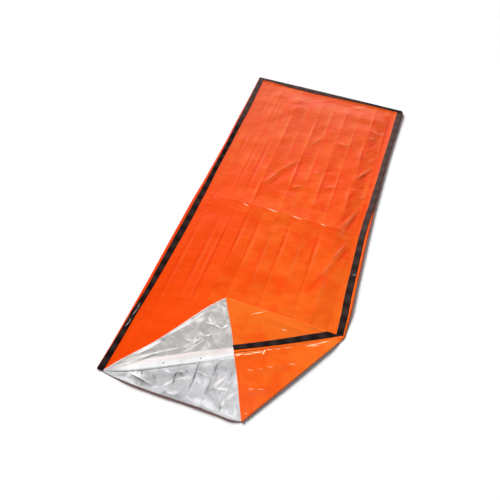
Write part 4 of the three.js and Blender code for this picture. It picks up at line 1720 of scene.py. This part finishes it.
class BAG_OT_tapes(bpy.types.Operator):
    """Build the black tapes along the left, right and foot seams"""

    bl_idname = "sleeping_bag.tapes"
    bl_label = "Seam Tapes"

    def execute(self, context):
        sizes = context.scene.bag_sizes
        cloth = (tape_material(context.scene.bag_colours),)
        thickness = sizes.tape_thickness / MM
        lift = sizes.film_thickness / MM / 2 + TAPE_LIFT + thickness / 2
        steps = np.asarray(shares(STEPS["tape_width"]))
        foot_length = BAG_WIDTH - table_column(LEFT_TAPE, BAG_LENGTH, 2)
        for node, rows, length in (
            ("tape_left", left_tape_points(steps), BAG_LENGTH),
            ("tape_right", right_tape_points(steps), BAG_LENGTH),
            ("tape_foot", foot_tape_points(steps), foot_length),
        ):
            points, faces = tape_sheet(lifted(rows, lift))
            piece = sheet_object(node + "_cloth", points, faces, thickness, cloth, 0, 0)
            dress(piece, node)
        return {"FINISHED"}


def soft_sun(name, heading, elevation, spread, strength):
    """Even light from one side, given by its heading on the floor, its height and how wide it spreads."""
    light = bpy.data.lights.new(name, "SUN")
    light.energy = strength
    light.angle = spread
    made = bpy.data.objects.new(name, light)
    side = Vector((*heading, 0)).normalized() * math.cos(elevation)
    towards = -Vector((side.x, side.y, math.sin(elevation)))
    made.rotation_euler = towards.to_track_quat("-Z", "Y").to_euler()
    made.visible_glossy = False
    bpy.context.scene.collection.objects.link(made)


def fill_panel(name, place, aim, size, power):
    light = bpy.data.lights.new(name, "AREA")
    light.size = size
    light.energy = power
    made = bpy.data.objects.new(name, light)
    made.location = place
    made.rotation_euler = (Vector(aim) - Vector(place)).to_track_quat("-Z", "Y").to_euler()
    made.visible_camera = False
    bpy.context.scene.collection.objects.link(made)


def studio_walls(stage):
    """White walls, brightest behind the foot on the left, fading into a dim ceiling."""
    world = bpy.data.worlds.new("studio_walls")
    world.use_nodes = True
    tree = world.node_tree
    tree.nodes.clear()
    place = add_node(tree, "TexCoord").outputs["Generated"]
    axes = add_node(tree, "SeparateXYZ", {"Vector": place})
    behind = add_node(tree, "MapRange", spans(axes.outputs["Y"], WALL_BEHIND))
    shades = (*WALL_HEIGHT, stage.walls, stage.ceiling)
    height = add_node(tree, "MapRange", spans(axes.outputs["Z"], shades))
    side = add_node(tree, "MapRange", spans(axes.outputs["X"], WALL_SIDE))
    back_light = add_node(tree, "Math", {0: height, 1: behind}, operation="MULTIPLY")
    light = add_node(tree, "Math", {0: back_light, 1: side}, operation="MULTIPLY")
    background = add_node(tree, "Background", {"Color": (1, 1, 1, 1), "Strength": light})
    add_node(tree, "OutputWorld", {"Surface": background})
    return world


def add_camera(scene, stage):
    camera = bpy.data.cameras.new("camera")
    camera.sensor_width = SENSOR_WIDTH
    camera.lens = stage.lens
    made = bpy.data.objects.new("camera", camera)
    sight = (Vector(stage.camera_aim) - Vector(stage.camera_place)).to_track_quat("-Z", "Y")
    turned = sight.to_matrix().to_4x4() @ Matrix.Rotation(stage.camera_roll, 4, "Z")
    made.matrix_world = Matrix.Translation(stage.camera_place) @ turned
    scene.collection.objects.link(made)
    scene.camera = made


class BAG_OT_stage(bpy.types.Operator):
    """Set out the floor, the soft lights and the camera"""

    bl_idname = "sleeping_bag.stage"
    bl_label = "Stage"

    def execute(self, context):
        scene = context.scene
        stage = scene.bag_stage
        cells = FLOOR["cells"]
        bpy.ops.mesh.primitive_grid_add(
            x_subdivisions=cells, y_subdivisions=cells, size=FLOOR["size"], location=FLOOR["place"]
        )
        floor = context.object
        floor.name = "floor_board"
        floor.data.materials.append(floor_material(scene.bag_colours))
        soft_sun("key_back_left", strength=stage.key_power, **KEY_LIGHT)
        fill_panel("fill_front_right", power=stage.fill_power, **FILL_LIGHT)
        fill_panel("softbox_above", power=stage.top_power, **SOFTBOX)
        scene.world = studio_walls(stage)
        add_camera(scene, stage)
        scene.view_settings.view_transform = "Standard"
        return {"FINISHED"}


class BAG_PT_sidebar(bpy.types.Panel):
    """Sleeping bag in the 3D view's sidebar"""

    bl_idname = "BAG_PT_sidebar"
    bl_label = "Sleeping Bag"
    bl_space_type = "VIEW_3D"
    bl_region_type = "UI"
    bl_category = "Sleeping Bag"

    def draw(self, context):
        layout = self.layout
        for group in (context.scene.bag_sizes, context.scene.bag_colours, context.scene.bag_stage):
            box = layout.box()
            for name in group.__annotations__:
                box.prop(group, name)
        for operator in OPERATORS:
            layout.operator(operator.bl_idname)


GROUPS = {"bag_sizes": BagSizes, "bag_colours": BagColours, "bag_stage": StageSettings}
OPERATORS = (BAG_OT_panels, BAG_OT_tapes, BAG_OT_stage)


def register():
    for made in (*GROUPS.values(), *OPERATORS, BAG_PT_sidebar):
        bpy.utils.register_class(made)
    for name, group in GROUPS.items():
        setattr(bpy.types.Scene, name, bpy.props.PointerProperty(type=group))


def unregister():
    for name in GROUPS:
        delattr(bpy.types.Scene, name)
    for made in reversed((*GROUPS.values(), *OPERATORS, BAG_PT_sidebar)):
        bpy.utils.unregister_class(made)


def main():
    register()
    bpy.ops.sleeping_bag.panels()
    bpy.ops.sleeping_bag.tapes()
    bpy.ops.sleeping_bag.stage()


if __name__ == "__main__":
    main()
